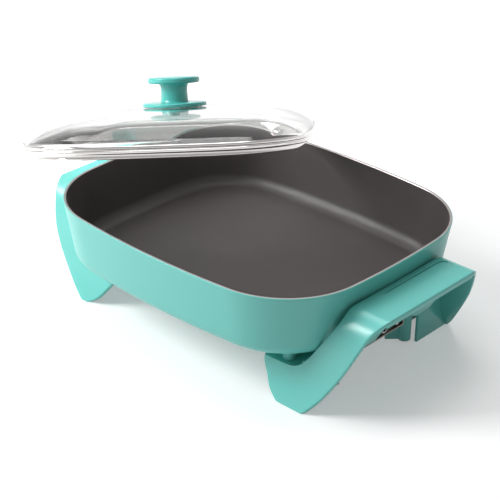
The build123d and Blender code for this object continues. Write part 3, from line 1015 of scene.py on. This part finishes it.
@dataclass
class Handle:
    """A one-piece handle: a grip whose ends run down as two flared legs to the feet."""

    finishes: Finishes
    plan: ScrewPlan
    profile: LegProfile
    side: Side
    foot_outer: float = 163.0
    outer_low: Pair = (185.0, 30.0)
    outer_start: Pair = (0.6, 0.6)
    outer_points: tuple[Pair, ...] = ((200.5, 60.0), (208.5, 80.0))
    outer_marks: tuple[float, ...] = (26.0, 41.0, 93.5)
    grip_outer: float = 220.5
    grip_inner: float = 177.6
    grip_inner_height: float = 94.0
    thickness: float = 4.0
    edge: float = 1.5
    hidden_edge: float = 0.6
    foot_rows: int = 17
    shelf_rows: int = 9
    inner_rows: int = 46
    bend_rows: int = 11
    grip_rows: int = 20
    across_shares: tuple[float, ...] = (0.0, 0.06, 0.14, 0.25, 0.38, 0.5, 0.62, 0.75, 0.86, 0.94, 1.0)
    shelf_inner: float = 103.5
    shelf_bend: float = 124.0
    inner_points: tuple[Pair, ...] = ((142.0, 36.6), (157.4, 53.5), (170.2, 76.5))
    foot_points: tuple[Pair, ...] = ((119.0, 8.0), (111.0, 18.3))
    foot_inner: float = 131.0
    sole_lift: float = 0.02
    sole_splay: float = 0.5
    lip_x: Pair = (215.3, 218.3)
    lip_half: float = 64.0
    lip_drop: Pair = (8.0, 2.0)
    lip_edge: float = 1.0
    arch: tuple[Pair, ...] = ((0.0, 59.0), (31.0, 49.5))
    apron_foot: tuple[Pair, ...] = ((52.0, 50.5), (68.0, 62.5), (80.5, 78.5))
    apron_side: tuple[float, ...] = (84.0, 90.0, 95.0)
    apron_top: Pair = (66.0, 1.5)
    apron_edge: float = 0.8
    web: float = 3.0
    web_inset: float = 2.0
    wall_outer: float = 163.0
    wall_start: float = 60.4
    near_wall_cut: float = 17.0
    foot_web_start: float = 91.0
    foot_web_heights: tuple[float, ...] = (0.02, 8.0, 15.0)
    shelf: tuple[Pair, ...] = ((103.5, 59.0), (162.0, 59.0), (162.0, 97.5), (103.5, 97.5))
    bridge: tuple[Pair, ...] = ((144.0, 44.0), (162.5, 44.0), (162.5, 93.5), (146.0, 93.5))
    bridge_top: float = 41.5
    tower_radius: float = 6.5
    tower_edge: float = 0.5
    tower_bottom: float = 2.0
    tower_top: float = 45.5
    counterbore: float = 5.4
    counterbore_depth: float = 36.0
    counterbore_edge: float = 0.3
    gusset_start: float = 4.2
    gusset_run: float = 9.5
    gusset_half: float = 1.06
    gusset_edge: float = 0.4
    groove: tuple[Pair, ...] = ((185.2, -31.0), (185.2, 51.0), (186.6, 59.2), (191.6, 61.8))
    groove_radius: float = 1.15
    groove_depth: float = 0.5
    groove_fade: Pair = (9.0, 1.6)
    groove_sides: int = 12
    inside: Draft = field(default_factory=Draft, init=False)

    def outer_edge(self) -> np.ndarray:
        """Draws the outer edge of leg and grip, seen along Y.

        Returns:
            X and Z of its points, from the floor up.
        """
        points = [(self.foot_outer, 0.0), self.outer_low, *self.outer_points]
        points.append((self.grip_outer, self.profile.grip_top))
        return SmoothCurve(points, self.outer_start, (0.7, 0.7)).sample(300)

    def rows(self) -> list[Row]:
        """Lays out the shell's rows from the floor to the grip's middle.

        Returns:
            X and way of each row's pan-side end and of its outer end.
        """
        line = self.profile
        outer = self.outer_edge()

        def outer_x(way: float) -> float:
            """X of the outer edge at a way from the floor."""
            return float(np.interp(line.at(way)[0][1], outer[:, 1], outer[:, 0]))

        shelf_top = self.plan.shelf_top
        foot = [(self.foot_inner, 0.0), *self.foot_points, (self.shelf_inner, shelf_top)]
        foot_side = SmoothCurve(foot, (-1.0, 0.6), (0.1, 1.0)).sample(self.foot_rows)
        shelf_x = np.linspace(self.shelf_inner, self.shelf_bend, self.shelf_rows)
        shelf = level(shelf_x[1:, None], shelf_top)
        rise = [(self.shelf_bend, shelf_top), *self.inner_points, (self.grip_inner, self.grip_inner_height)]
        inner = SmoothCurve(rise, (1.0, 0.0), (0.1, 1.0)).sample(self.inner_rows)[1:]
        marks = [0.0, *(line.way_at(height) for height in self.outer_marks)]
        made = []
        for part, start, end in zip((foot_side, shelf, inner), marks, marks[1:]):
            first = 0 if start == 0.0 else 1
            spread = np.linspace(start, end, len(part) + first)[first:]
            made += [(x, line.way_at(height), outer_x(way), way) for (x, height), way in zip(part, spread)]
        near, far = made[-1][1], made[-1][3]
        for share in np.linspace(0.0, 1.0, self.bend_rows)[1:]:
            way = far + share * (line.grip_way - far)
            made.append((self.grip_inner, near + share * (line.grip_way - near), outer_x(way), way))
        grip_ways = np.linspace(line.grip_way, line.way[-1], self.grip_rows)[1:]
        return made + [(self.grip_inner, way, self.grip_outer, way) for way in grip_ways]

    def shell_ring(self, row: Row, back: float) -> np.ndarray:
        """The closed cross-section of the shell at a row.

        Args:
            row: The row's ends.
            back: +1 on the back half, -1 on the front half.

        Returns:
            The ring of points.
        """
        inner_x, inner_way, outer_x, outer_way = row
        width = math.hypot(outer_x - inner_x, outer_way - inner_way)
        edge, hidden, thick = self.edge, self.hidden_edge, self.thickness
        shares = self.across_shares
        section = [(edge + share * (width - 2 * edge), 0.0) for share in shares]
        section += arc((width - edge, edge), edge, 270.0, 360.0, 5)[1:]
        section += arc((width - hidden, thick - hidden), hidden, 0.0, 90.0, 2)
        section += [(hidden + share * (width - 2 * hidden), thick) for share in reversed(shares[1:-1])]
        section += arc((hidden, thick - hidden), hidden, 90.0, 180.0, 2)
        section += arc((edge, edge), edge, 180.0, 270.0, 5)[:-1]
        ring = []
        for across, depth in section:
            share = across / width
            point, normal = self.profile.at(max(inner_way + (outer_way - inner_way) * share, 0.0))
            ring.append((inner_x + (outer_x - inner_x) * share, *(point - normal * depth)))
        made = np.array(ring)
        if inner_way == 0.0:
            made[:, 1] += made[:, 2] * self.sole_splay
            made[:, 2] = 0.0
        made[:, 1] *= back
        made[:, 2] = np.maximum(made[:, 2], 0.0)
        return made

    def shell(self) -> Draft:
        """Draws grip and legs.

        Returns:
            Their closed shell.
        """
        rows = self.rows()
        rings = [self.shell_ring(row, -1.0) for row in rows]
        rings += [self.shell_ring(row, 1.0) for row in reversed(rows[:-1])]
        draft = Draft()
        draft.stack(rings, ends=(End.FACE, End.FACE))
        return draft

    def add_lip(self) -> None:
        """Adds the turned-down lip behind the grip's outer edge."""
        (near, far), half = self.lip_x, self.lip_half
        low, high = (self.profile.grip_top - drop for drop in self.lip_drop)
        outline = [(near, -half), (far, -half), (far, half), (near, half)]
        self.inside.prism(outline, low, high, Axis.Z, self.lip_edge)

    def add_apron(self) -> None:
        """Adds the apron that closes the grip's pan side, with an arch over the control inlet."""
        half = [*SmoothCurve(self.arch, (1.0, 0.0), (1.0, -0.6)).sample(12)]
        half += [*SmoothCurve(self.apron_foot, (1.0, 0.1), (0.8, 0.8)).sample(12)]
        half += [(self.profile.reach(height) - self.web_inset, height) for height in self.apron_side]
        half.append((self.apron_top[0], self.profile.grip_top - self.apron_top[1]))
        outline = half + [(-y, z) for y, z in reversed(half[1:])]
        self.inside.prism(outline, self.grip_inner, self.grip_inner + self.web, Axis.X, self.apron_edge)

    def add_webs(self) -> None:
        """Adds the walls, plates, screw towers and gussets between each leg and the pan."""
        outer = self.outer_edge()
        sole = float(np.interp(self.wall_outer, outer[:, 0], outer[:, 1])) + self.sole_lift
        top, thick = self.bridge_top, self.thickness

        def leg_side(heights: Sequence[float]) -> list[Pair]:
            """Points just inside a leg at the given heights."""
            return [(self.profile.reach(height) - self.web_inset, height) for height in heights]

        start, heights = self.foot_web_start, self.foot_web_heights
        foot = [(start, heights[0]), *leg_side(heights), (start, heights[-1])]
        start = np.array(self.plan.tower) - self.gusset_start
        end = start - self.gusset_run
        across = self.gusset_half * np.array((1.0, -1.0))
        gusset = [start + across, start - across, end - across, end + across]
        for back, low in ((1.0, sole), (-1.0, max(self.near_wall_cut, sole))):
            wall = [(self.wall_start, low), *leg_side(np.linspace(sole, top, 6)), (self.wall_start, top)]
            self.add_plate(wall, self.wall_outer - self.web, self.wall_outer, Axis.X, back)
            self.add_plate(foot, self.foot_inner, self.foot_inner + self.web, Axis.X, back)
            self.add_plate(self.shelf, self.plan.shelf_top - thick, self.plan.shelf_top, Axis.Z, back)
            self.add_plate(self.bridge, top - thick, top, Axis.Z, back)
            self.add_tower((self.plan.tower[0], back * self.plan.tower[1]))
            self.add_plate(gusset, self.tower_bottom, top, Axis.Z, back, self.gusset_edge)

    def add_plate(
        self, outline: Sequence[Pair], low: float, high: float, axis: Axis, back: float, edge: float = 0.5
    ) -> None:
        """Adds a plate, mirrored for the front half.

        Args:
            outline: The corners of the back half's plate, counter-clockwise.
            low: Where it starts along its axis.
            high: Where it ends.
            axis: The axis that it stands across.
            back: +1 on the back half, -1 on the front half.
            edge: The width of its softened edge.
        """
        flip = (back, 1.0) if axis is Axis.X else (1.0, back)
        corners = np.array(outline) * flip
        self.inside.prism(corners if back > 0 else corners[::-1], low, high, axis, edge)

    def add_tower(self, centre: Pair) -> None:
        """Adds a screw tower with its counterbore.

        Args:
            centre: X and Y of its axis.
        """
        low, high, radius, edge = self.tower_bottom, self.tower_top, self.tower_radius, self.tower_edge
        seat, bore, lead = low + self.counterbore_depth, self.counterbore, self.counterbore_edge
        hole = self.plan.shank_hole
        profile = [*arc((radius - edge, low + edge), edge, 270.0, 360.0, 3), (radius, high), (hole, high)]
        profile += [(hole, seat), (bore, seat), (bore, low + lead), (bore + lead, low)]
        self.inside.lathe(profile, centre, 48)

    def cut_groove(self, piece: bpy.types.Object) -> None:
        """Cuts the grip's fine groove, which fades at one end and turns outward at the other.

        Args:
            piece: The handle.
        """
        near, bend = self.groove[0], self.groove[1]
        route = [(near[0], y) for y in np.linspace(near[1], bend[1], 40)]
        route += [*SmoothCurve(self.groove[1:], (0, 1), (1, 0.35)).sample(14)[1:]]
        path = np.array(route) * (self.side.value, 1.0)
        reach, rise = self.groove_fade
        rings = []
        for point, side in zip(path, left_of(unit(np.gradient(path, axis=0)))):
            lift = rise * max(0.0, 1.0 - (point[1] - near[1]) / reach) ** 2
            height = self.profile.grip_top - self.groove_depth + lift
            turn = self.groove_radius * circle(self.groove_sides)
            rings.append(np.column_stack([point + turn[:, :1] * side, height + turn[:, 1]]))
        draft = Draft()
        draft.stack(rings, ends=(End.FACE, End.FACE))
        cutter = draft.make("groove_cutter")
        change = piece.modifiers.new("groove", "BOOLEAN")
        change.operation, change.solver, change.object = "DIFFERENCE", "EXACT", cutter
        bake_modifiers(piece)
        bpy.data.objects.remove(cutter)

    def build(self) -> None:
        """Makes the handle and settles it on the base."""
        shell = self.shell()
        self.add_lip()
        self.add_apron()
        self.add_webs()
        for draft in (shell, self.inside):
            draft.place(Matrix.Diagonal((self.side.value, 1.0, 1.0, 1.0)))
        name = f"{self.side.name.lower()}_handle"
        piece = shell.make(f"{name}_moulding", self.finishes.plastic)
        self.cut_groove(piece)
        join(piece, self.inside.make(f"{name}_inside", self.finishes.plastic))
        settle(piece, Body.BASE, name)


# ---------------------------------------------------------------- fasteners
class FastenerTree:
    """A node tree that stands one source piece on every vertex of a mesh."""

    def __init__(self) -> None:
        """Builds the tree with its named inputs."""
        self.tree = bpy.data.node_groups.new("stand_on_points", "GeometryNodeTree")
        face = self.tree.interface
        face.new_socket("Geometry", in_out="INPUT", socket_type="NodeSocketGeometry")
        self.source = face.new_socket("Source", in_out="INPUT", socket_type="NodeSocketObject").identifier
        self.finish = face.new_socket("Finish", in_out="INPUT", socket_type="NodeSocketMaterial").identifier
        face.new_socket("Geometry", in_out="OUTPUT", socket_type="NodeSocketGeometry")
        start, info, stand, real, coat, end = (
            self.tree.nodes.new(kind)
            for kind in (
                "NodeGroupInput",
                "GeometryNodeObjectInfo",
                "GeometryNodeInstanceOnPoints",
                "GeometryNodeRealizeInstances",
                "GeometryNodeSetMaterial",
                "NodeGroupOutput",
            )
        )
        for giver, output, taker, value in (
            (start, "Source", info, "Object"),
            (start, "Geometry", stand, "Points"),
            (info, "Geometry", stand, "Instance"),
            (stand, "Instances", real, "Geometry"),
            (real, "Geometry", coat, "Geometry"),
            (start, "Finish", coat, "Material"),
            (coat, "Geometry", end, "Geometry"),
        ):
            self.tree.links.new(giver.outputs[output], taker.inputs[value])

    def scatter(
        self, name: str, source: Draft, places: Sequence[Point], finish: bpy.types.Material
    ) -> bpy.types.Object:
        """Stands copies of a source on places.

        Args:
            name: The new piece's name.
            source: The source's shells, around its own origin.
            places: Where the copies stand, in millimetres.
            finish: Their material.

        Returns:
            One plain mesh of all the copies.
        """
        model = source.make(f"{name}_source", finish)
        mesh = bpy.data.meshes.new(name)
        mesh.from_pydata([tuple(value * MM for value in place) for place in places], [], [])
        piece = link(name, mesh)
        change = piece.modifiers.new("stand", "NODES")
        change.node_group = self.tree
        change[self.source] = model
        change[self.finish] = finish
        bake_modifiers(piece)
        bpy.data.objects.remove(model)
        return piece


@dataclass
class Fasteners:
    """Screws, washers and bushes that hold the handles and the inlet's guard."""

    finishes: Finishes
    plan: ScrewPlan
    tree: FastenerTree
    tower_seat: float = 37.0
    standoff_seat: float = 28.0
    guard_seat: float = 44.0
    shank_end: float = 52.5
    handle_screw: Point = (2.5, 4.6, 3.5)
    guard_screw: Point = (2.0, 3.6, 2.6)
    guard_shank: float = 7.5
    washer_radius: float = 5.0
    washer_height: float = 1.0
    washer_edge: float = 0.2
    bush_radius: float = 6.5
    bush_height: float = 12.5
    bush_edge: float = 0.7

    @staticmethod
    def screw(sizes: Point, length: float) -> Draft:
        """A screw with a crowned head below its seat and a round recess.

        Args:
            sizes: The shank's radius, the head's radius and the head's height.
            length: The shank's length above the seat.

        Returns:
            The shells, with the seat at height 0.
        """
        shank, head, deep = sizes
        flank, crown_height = 0.45 * deep, 0.55 * deep
        turns = np.radians(np.linspace(0.0, 78.0, 7))
        crown = [(head * math.cos(a), -flank - crown_height * math.sin(a)) for a in turns]
        recess = [(0.22 * head, crown[-1][1]), (0.16 * head, -flank), (0.0, -flank)]
        profile = [(0.0, length), (shank, length), (shank, 0.0), (head - 0.2, 0.0), (head, -0.2)]
        draft = Draft()
        draft.lathe([*profile, *crown, *recess], segments=40)
        return draft

    def ring(self, outer: float, height: float, edge: float) -> Draft:
        """A washer or bush that stands on height 0.

        Args:
            outer: Its radius.
            height: Its height.
            edge: The width of its outer chamfers.

        Returns:
            The shells.
        """
        hole = self.plan.shank_hole
        profile = [(hole, 0.0), (outer - edge, 0.0), (outer, edge), (outer, height - edge)]
        draft = Draft()
        draft.lathe([*profile, (outer - edge, height), (hole, height)], segments=48)
        return draft

    def build(self) -> None:
        """Makes every set and settles it on the base."""
        plan = self.plan
        zinc, plastic = (self.finishes.zinc, "zinc_steel"), (self.finishes.bush, "bush_plastic")
        towers = mirrored(plan.tower, self.tower_seat)
        standoffs = mirrored(plan.standoff, self.standoff_seat)
        guards = plan.guard_places(self.guard_seat)
        bushes = mirrored(plan.standoff, plan.shelf_top)
        tower_screw = self.screw(self.handle_screw, self.shank_end - self.tower_seat)
        standoff_screw = self.screw(self.handle_screw, self.shank_end - self.standoff_seat)
        guard_screw = self.screw(self.guard_screw, self.guard_shank)
        washer = self.ring(self.washer_radius, self.washer_height, self.washer_edge)
        collar = self.ring(self.bush_radius, self.bush_height, self.bush_edge)
        for name, source, places, (finish, slot), node in (
            ("tower_screw_set", tower_screw, towers, zinc, "tower_screws"),
            ("standoff_screw_set", standoff_screw, standoffs, zinc, "standoff_screws"),
            ("guard_screw_set", guard_screw, guards, zinc, "guard_screws"),
            ("tower_washer_set", washer, towers, zinc, "tower_washers"),
            ("standoff_washer_set", washer, standoffs, zinc, "standoff_washers"),
            ("standoff_bush_set", collar, bushes, plastic, "standoff_bushes"),
        ):
            settle(self.tree.scatter(name, source, places, finish), Body.BASE, node)


# ---------------------------------------------------------------- lid
@dataclass
class Lid:
    """The loose lid: domed glass in a stepped steel band, with a knob through its middle."""

    finishes: Finishes
    place: Matrix
    rim: BowedOutline
    overhang: float = 6.5
    band_top: float = 11.2
    bead_bottom: float = 2.8
    bead_round: float = 2.0
    fold: float = 1.6
    waist: tuple[Pair, ...] = ((0.0, 1.1), (0.55, 0.5), (0.7, 0.0), (0.55, -0.5), (0.0, -1.1))
    sheet: float = 0.8
    lip: float = 4.2
    skirt_inset: float = 3.5
    skirt_drop: float = 3.2
    hem: tuple[Pair, ...] = ((0.0, 1.4), (-0.5, 0.7), (-0.1, 0.1), (0.7, 0.0), (1.1, 0.6), (0.8, 1.4))
    glass_top: float = 37.6
    glass_thickness: float = 4.0
    glass_edge: tuple[Pair, ...] = ((0.993, 7.6), (0.988, 8.8))
    glass_hole: float = 3.4
    stations: tuple[Pair, ...] = ((0.972, 10.2), (0.93, 16.5), (0.85, 23.0), (0.7, 29.5), (0.5, 34.5))
    flat_top: tuple[Pair, ...] = ((0.26, 0.25), (0.10, 0.0))
    under_dome: float = 0.8
    gasket: float = 1.0
    disc_edge: float = 1.4
    base_radius: float = 35.2
    base_thickness: float = 4.0
    base_crown: float = 0.7
    stem_radius: float = 15.0
    stem_low: tuple[Pair, ...] = ((1.4, 0.2), (0.5, 1.2), (0.0, 3.0), (-0.5, 12.0))
    stem_high: tuple[Pair, ...] = ((-0.2, -4.0), (0.6, -1.2), (2.4, 0.1))
    cap_radius: float = 28.4
    cap_thickness: float = 7.5
    cap_crown: tuple[Pair, ...] = ((0.7, 0.35), (0.4, 0.05), (0.15, 0.0))
    knob_height: float = 28.5
    lower_radius: float = 26.0
    lower_thickness: float = 3.0

    def dome(self, half: float, drop: float, shrink: float) -> list[Pair]:
        """The dome's rings from the edge to the flat top.

        Args:
            half: Half the band's length, which the shares are of.
            drop: How far the surface lies below the outer one.
            shrink: How far its shares are inside the outer one's.

        Returns:
            Share and height of each ring.
        """
        stations = [*self.stations, *((share, self.glass_top - low) for share, low in self.flat_top)]
        points = [(share * half, height) for share, height in stations]
        curve = SmoothCurve(points, (-0.75, 1.0), (-1.0, 0.0)).sample(36)
        return [(x / half - shrink, height - drop) for x, height in curve]

    def settle_shell(self, draft: Draft, name: str, finish: bpy.types.Material, node: str) -> None:
        """Moves a piece to the lid's place and settles it.

        Args:
            draft: Its shells, around the lid's own origin.
            name: Its name.
            finish: Its material.
            node: The CAD node that it replaces.
        """
        draft.place(self.place)
        settle(draft.make(name, finish), Body.LID, node)

    def build_glass(self) -> None:
        """Makes the glass dome with its rounded edge."""
        outline = self.rim.grown(self.overhang)
        half, thick = outline.half_x, self.glass_thickness
        shrink = thick / half
        bottom = self.bead_bottom + self.sheet + 0.05
        side = self.glass_edge[0][0]
        upper = [(0.990, bottom), (side, bottom + 0.8), *self.glass_edge, *self.dome(half, 0.0, 0.0)]
        lower = [(side - shrink + 0.002, bottom), (side - shrink, bottom + 0.5)]
        lower += self.dome(half, self.under_dome * thick, shrink)
        rings = [outline.ring(0.0, height, share) for share, height in [*reversed(upper), *lower]]
        turns = np.arctan2(rings[0][:, 1], rings[0][:, 0])
        hole = self.glass_hole * np.column_stack([np.cos(turns), np.sin(turns)])
        draft = Draft()
        draft.stack([level(hole, self.glass_top), *rings, level(hole, self.glass_top - thick)], loop=True)
        self.settle_shell(draft, "lid_dome", self.finishes.glass, "lid_glass")

    def build_band(self) -> None:
        """Makes the rolled steel band: bead, step and skirt."""
        top, low, sheet, fold, bead = self.band_top, self.bead_bottom, self.sheet, self.fold, self.bead_round
        skirt = self.overhang + self.skirt_inset
        waist = (top + low) / 2.0
        section = [(self.lip, top - 0.5), *arc((bead, top - bead), bead, 90.0, 180.0, 6)]
        section += [(inset, waist + height) for inset, height in self.waist]
        section += arc((fold, low + fold), fold, 180.0, 270.0, 5)
        section += [(skirt - fold, low), *arc((skirt - fold, low - fold), fold, 90.0, 0.0, 5)]
        section += [(skirt + inset, height - self.skirt_drop) for inset, height in self.hem]
        section += [(skirt + sheet, low - 0.6), (skirt, low + sheet), (fold, low + sheet), (sheet, low + 1.8)]
        section += [(sheet, top - 2.2), (bead, top - sheet), (self.lip, top - sheet - 0.3)]
        outline = self.rim.grown(self.overhang)
        draft = Draft()
        draft.stack([outline.ring(inset, height) for inset, height in section], loop=True)
        self.settle_shell(draft, "lid_band", self.finishes.band, "lid_rim_band")

    def build_knob(self) -> None:
        """Makes the base disc, the knob and the disc under the glass."""
        edge, stem, cap = self.disc_edge, self.stem_radius, self.cap_radius
        low, radius = self.glass_top + self.gasket, self.base_radius
        top = low + self.base_thickness
        crown = top + self.base_crown
        base = [(0.0, low), *arc((radius - edge, low + edge), edge, 270.0, 360.0, 5)]
        base += arc((radius - edge, top - 1.2), edge, 0.0, 80.0, 5)
        base += [(radius * 0.7, top + 0.5), (stem + 2.0, crown), (0.0, crown)]
        high = top + self.knob_height
        under = high - self.cap_thickness
        knob = [(0.0, top), *((stem + out, top + height) for out, height in self.stem_low)]
        knob += [(stem + out, under + height) for out, height in self.stem_high]
        knob += [(cap - 5.0, under + 0.4), *arc((cap - 2.2, under + 2.6), 2.2, 275.0, 360.0, 6)]
        knob += arc((cap - 2.4, high - 3.0), 2.4, 0.0, 75.0, 6)
        knob += [*((cap * share, high - drop) for share, drop in self.cap_crown), (0.0, high)]
        high, radius = self.glass_top - self.glass_thickness - self.gasket, self.lower_radius
        low = high - self.lower_thickness
        seat = [(0.0, low), *arc((radius - edge, low + edge), edge, 270.0, 360.0, 5)]
        seat += [*arc((radius - edge, high - edge), edge, 0.0, 90.0, 5), (0.0, high)]
        for profile, segments, name, node in (
            (base, 128, "knob_base", "knob_base_disc"),
            (knob, 128, "knob", "lid_knob"),
            (seat, 96, "knob_seat", "lower_disc"),
        ):
            draft = Draft()
            draft.lathe(profile, segments=segments)
            self.settle_shell(draft, name, self.finishes.knob, node)

    def build(self) -> None:
        """Makes all of the lid's pieces."""
        self.build_glass()
        self.build_band()
        self.build_knob()


# ---------------------------------------------------------------- stage
@dataclass
class Stage:
    """Camera, lamps, floor and surroundings, with lengths in metres but for the camera's place."""

    eye: Point = (876.6, -957.0, 761.5)
    ahead: Point = (-0.5988, 0.6468, -0.4723)
    right: Point = (0.7308, 0.6826, 0.0083)
    lens: float = 105.05
    shift: float = 0.0035
    aim: Point = (0.0, 0.0, 0.08)
    floor_half: float = 6.0
    floor_height: float = -0.0002
    ambient: float = 0.42
    ceiling: float = 0.45
    horizon: Pair = (0.08, 0.45)

    def camera(self) -> None:
        """Makes the camera."""
        data = bpy.data.cameras.new("camera")
        data.lens = self.lens
        data.sensor_width = 36.0
        data.shift_x = self.shift
        data.clip_end = 50.0
        made = link("camera", data)
        ahead = Vector(self.ahead).normalized()
        right = Vector(self.right)
        right = (right - ahead * right.dot(ahead)).normalized()
        turn = Matrix((right, right.cross(ahead), -ahead)).transposed().to_4x4()
        made.matrix_world = Matrix.Translation(Vector(self.eye) * MM) @ turn
        bpy.context.scene.camera = made

    def lamp(self, name: str, at: Point, size: float, power: float) -> None:
        """Makes a square area lamp that points at the pan.

        Args:
            name: The lamp's name.
            at: Its place.
            size: Its side.
            power: Its power in watts.
        """
        data = bpy.data.lights.new(name, "AREA")
        data.shape = "RECTANGLE"
        data.size = data.size_y = size
        data.energy = power
        turn = (Vector(self.aim) - Vector(at)).to_track_quat("-Z", "Y").to_matrix().to_4x4()
        link(name, data).matrix_world = Matrix.Translation(at) @ turn

    def floor(self) -> None:
        """Makes the floor."""
        mesh = bpy.data.meshes.new("floor")
        corners = ((-1, -1), (1, -1), (1, 1), (-1, 1))
        points = [(x * self.floor_half, y * self.floor_half, self.floor_height) for x, y in corners]
        mesh.from_pydata(points, [], [(0, 1, 2, 3)])
        mesh.materials.append(PaleFloor("pale_floor", (0.80, 0.80, 0.80)).make())
        link("floor", mesh)

    def surroundings(self) -> None:
        """Makes the world white to the eye and soft to the object."""
        graph = Graph(bpy.data.worlds.new("surroundings"))
        seen = graph.rays("Camera", "Transmission", "Glossy")
        strength = graph.remap(seen, (0.0, 1.0), (self.ambient, 1.0))
        around = graph.signal("ShaderNodeTexCoord", {}, {}, "Generated")
        height = graph.signal("ShaderNodeSeparateXYZ", {}, {0: around}, "Z")
        fade = graph.remap(height, self.horizon, (1.0, self.ceiling))
        shown = graph.math("MAXIMUM", fade, graph.rays("Camera"))
        light = graph.signal("ShaderNodeBackground", {}, {"Color": shown, "Strength": strength})
        bpy.context.scene.world = graph.close(light, "World")

    def build(self) -> None:
        """Makes the whole stage."""
        bpy.context.scene.view_settings.view_transform = "Standard"
        self.camera()
        self.floor()
        self.surroundings()
        self.lamp("key", (-1.25, -1.15, 1.25), 1.0, 46.0)
        self.lamp("overhead", (-0.5, 0.4, 1.9), 1.4, 17.0)


# ---------------------------------------------------------------- the frame's own nodes
def dress_nodes(finishes: Finishes) -> None:
    """Gives the CAD nodes that stay in sight their finishes.

    Args:
        finishes: The materials.
    """
    coats = {
        "heating_element": finishes.heat_tint_and_guard_shade,
        "element_end_seals": finishes.ceramic,
        "terminal_pins": finishes.zinc,
        "sensor_sleeve": finishes.zinc,
        # The terminal guard takes the element's dark steel. Its darkness is partly painted shade for the
        # shaded end under the right handle.
        "terminal_guard": finishes.heat_tint_and_guard_shade,
        "upper_gasket": finishes.silicone,
        "lower_gasket": finishes.silicone,
        "knob_screw_washer": finishes.zinc,
        "knob_screw": finishes.zinc,
    }
    for name, coat in coats.items():
        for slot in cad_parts[name].material_slots:
            slot.material = coat
        LOG.info("%s keeps its CAD mesh", name)


def lid_matrix(centre: Point, turn: Point) -> Matrix:
    """The lid's place in millimetres.

    Args:
        centre: The middle of its lower plane.
        turn: Its turns about X, Y and Z in degrees, made in that order about fixed axes.

    Returns:
        The matrix from the lid's own axes.
    """
    roll, pitch, yaw = (math.radians(value) for value in turn)
    spin = Matrix.Rotation(yaw, 4, "Z") @ Matrix.Rotation(pitch, 4, "Y") @ Matrix.Rotation(roll, 4, "X")
    return Matrix.Translation(centre) @ spin


def main() -> None:
    logging.basicConfig(level=logging.INFO, format="%(name)s: %(message)s")
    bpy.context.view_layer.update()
    place = lid_matrix((-188.7, 75.1, 104.0), (-4.6, 19.1, 127.3))
    finishes = Finishes(tuple(place.to_3x3().inverted().to_euler()))
    plan = ScrewPlan()
    pan = Pan(finishes, plan)
    pan.build()
    profile = LegProfile()
    Handle(finishes, plan, profile, Side.RIGHT).build()
    Handle(
        finishes, plan, profile, Side.LEFT, foot_outer=141.0, outer_low=(181.0, 30.0), outer_start=(1.04, 0.6)
    ).build()
    Fasteners(finishes, plan, FastenerTree()).build()
    Lid(finishes, place, pan.outline()).build()
    dress_nodes(finishes)
    Stage().build()


if __name__ == "__main__":
    main()
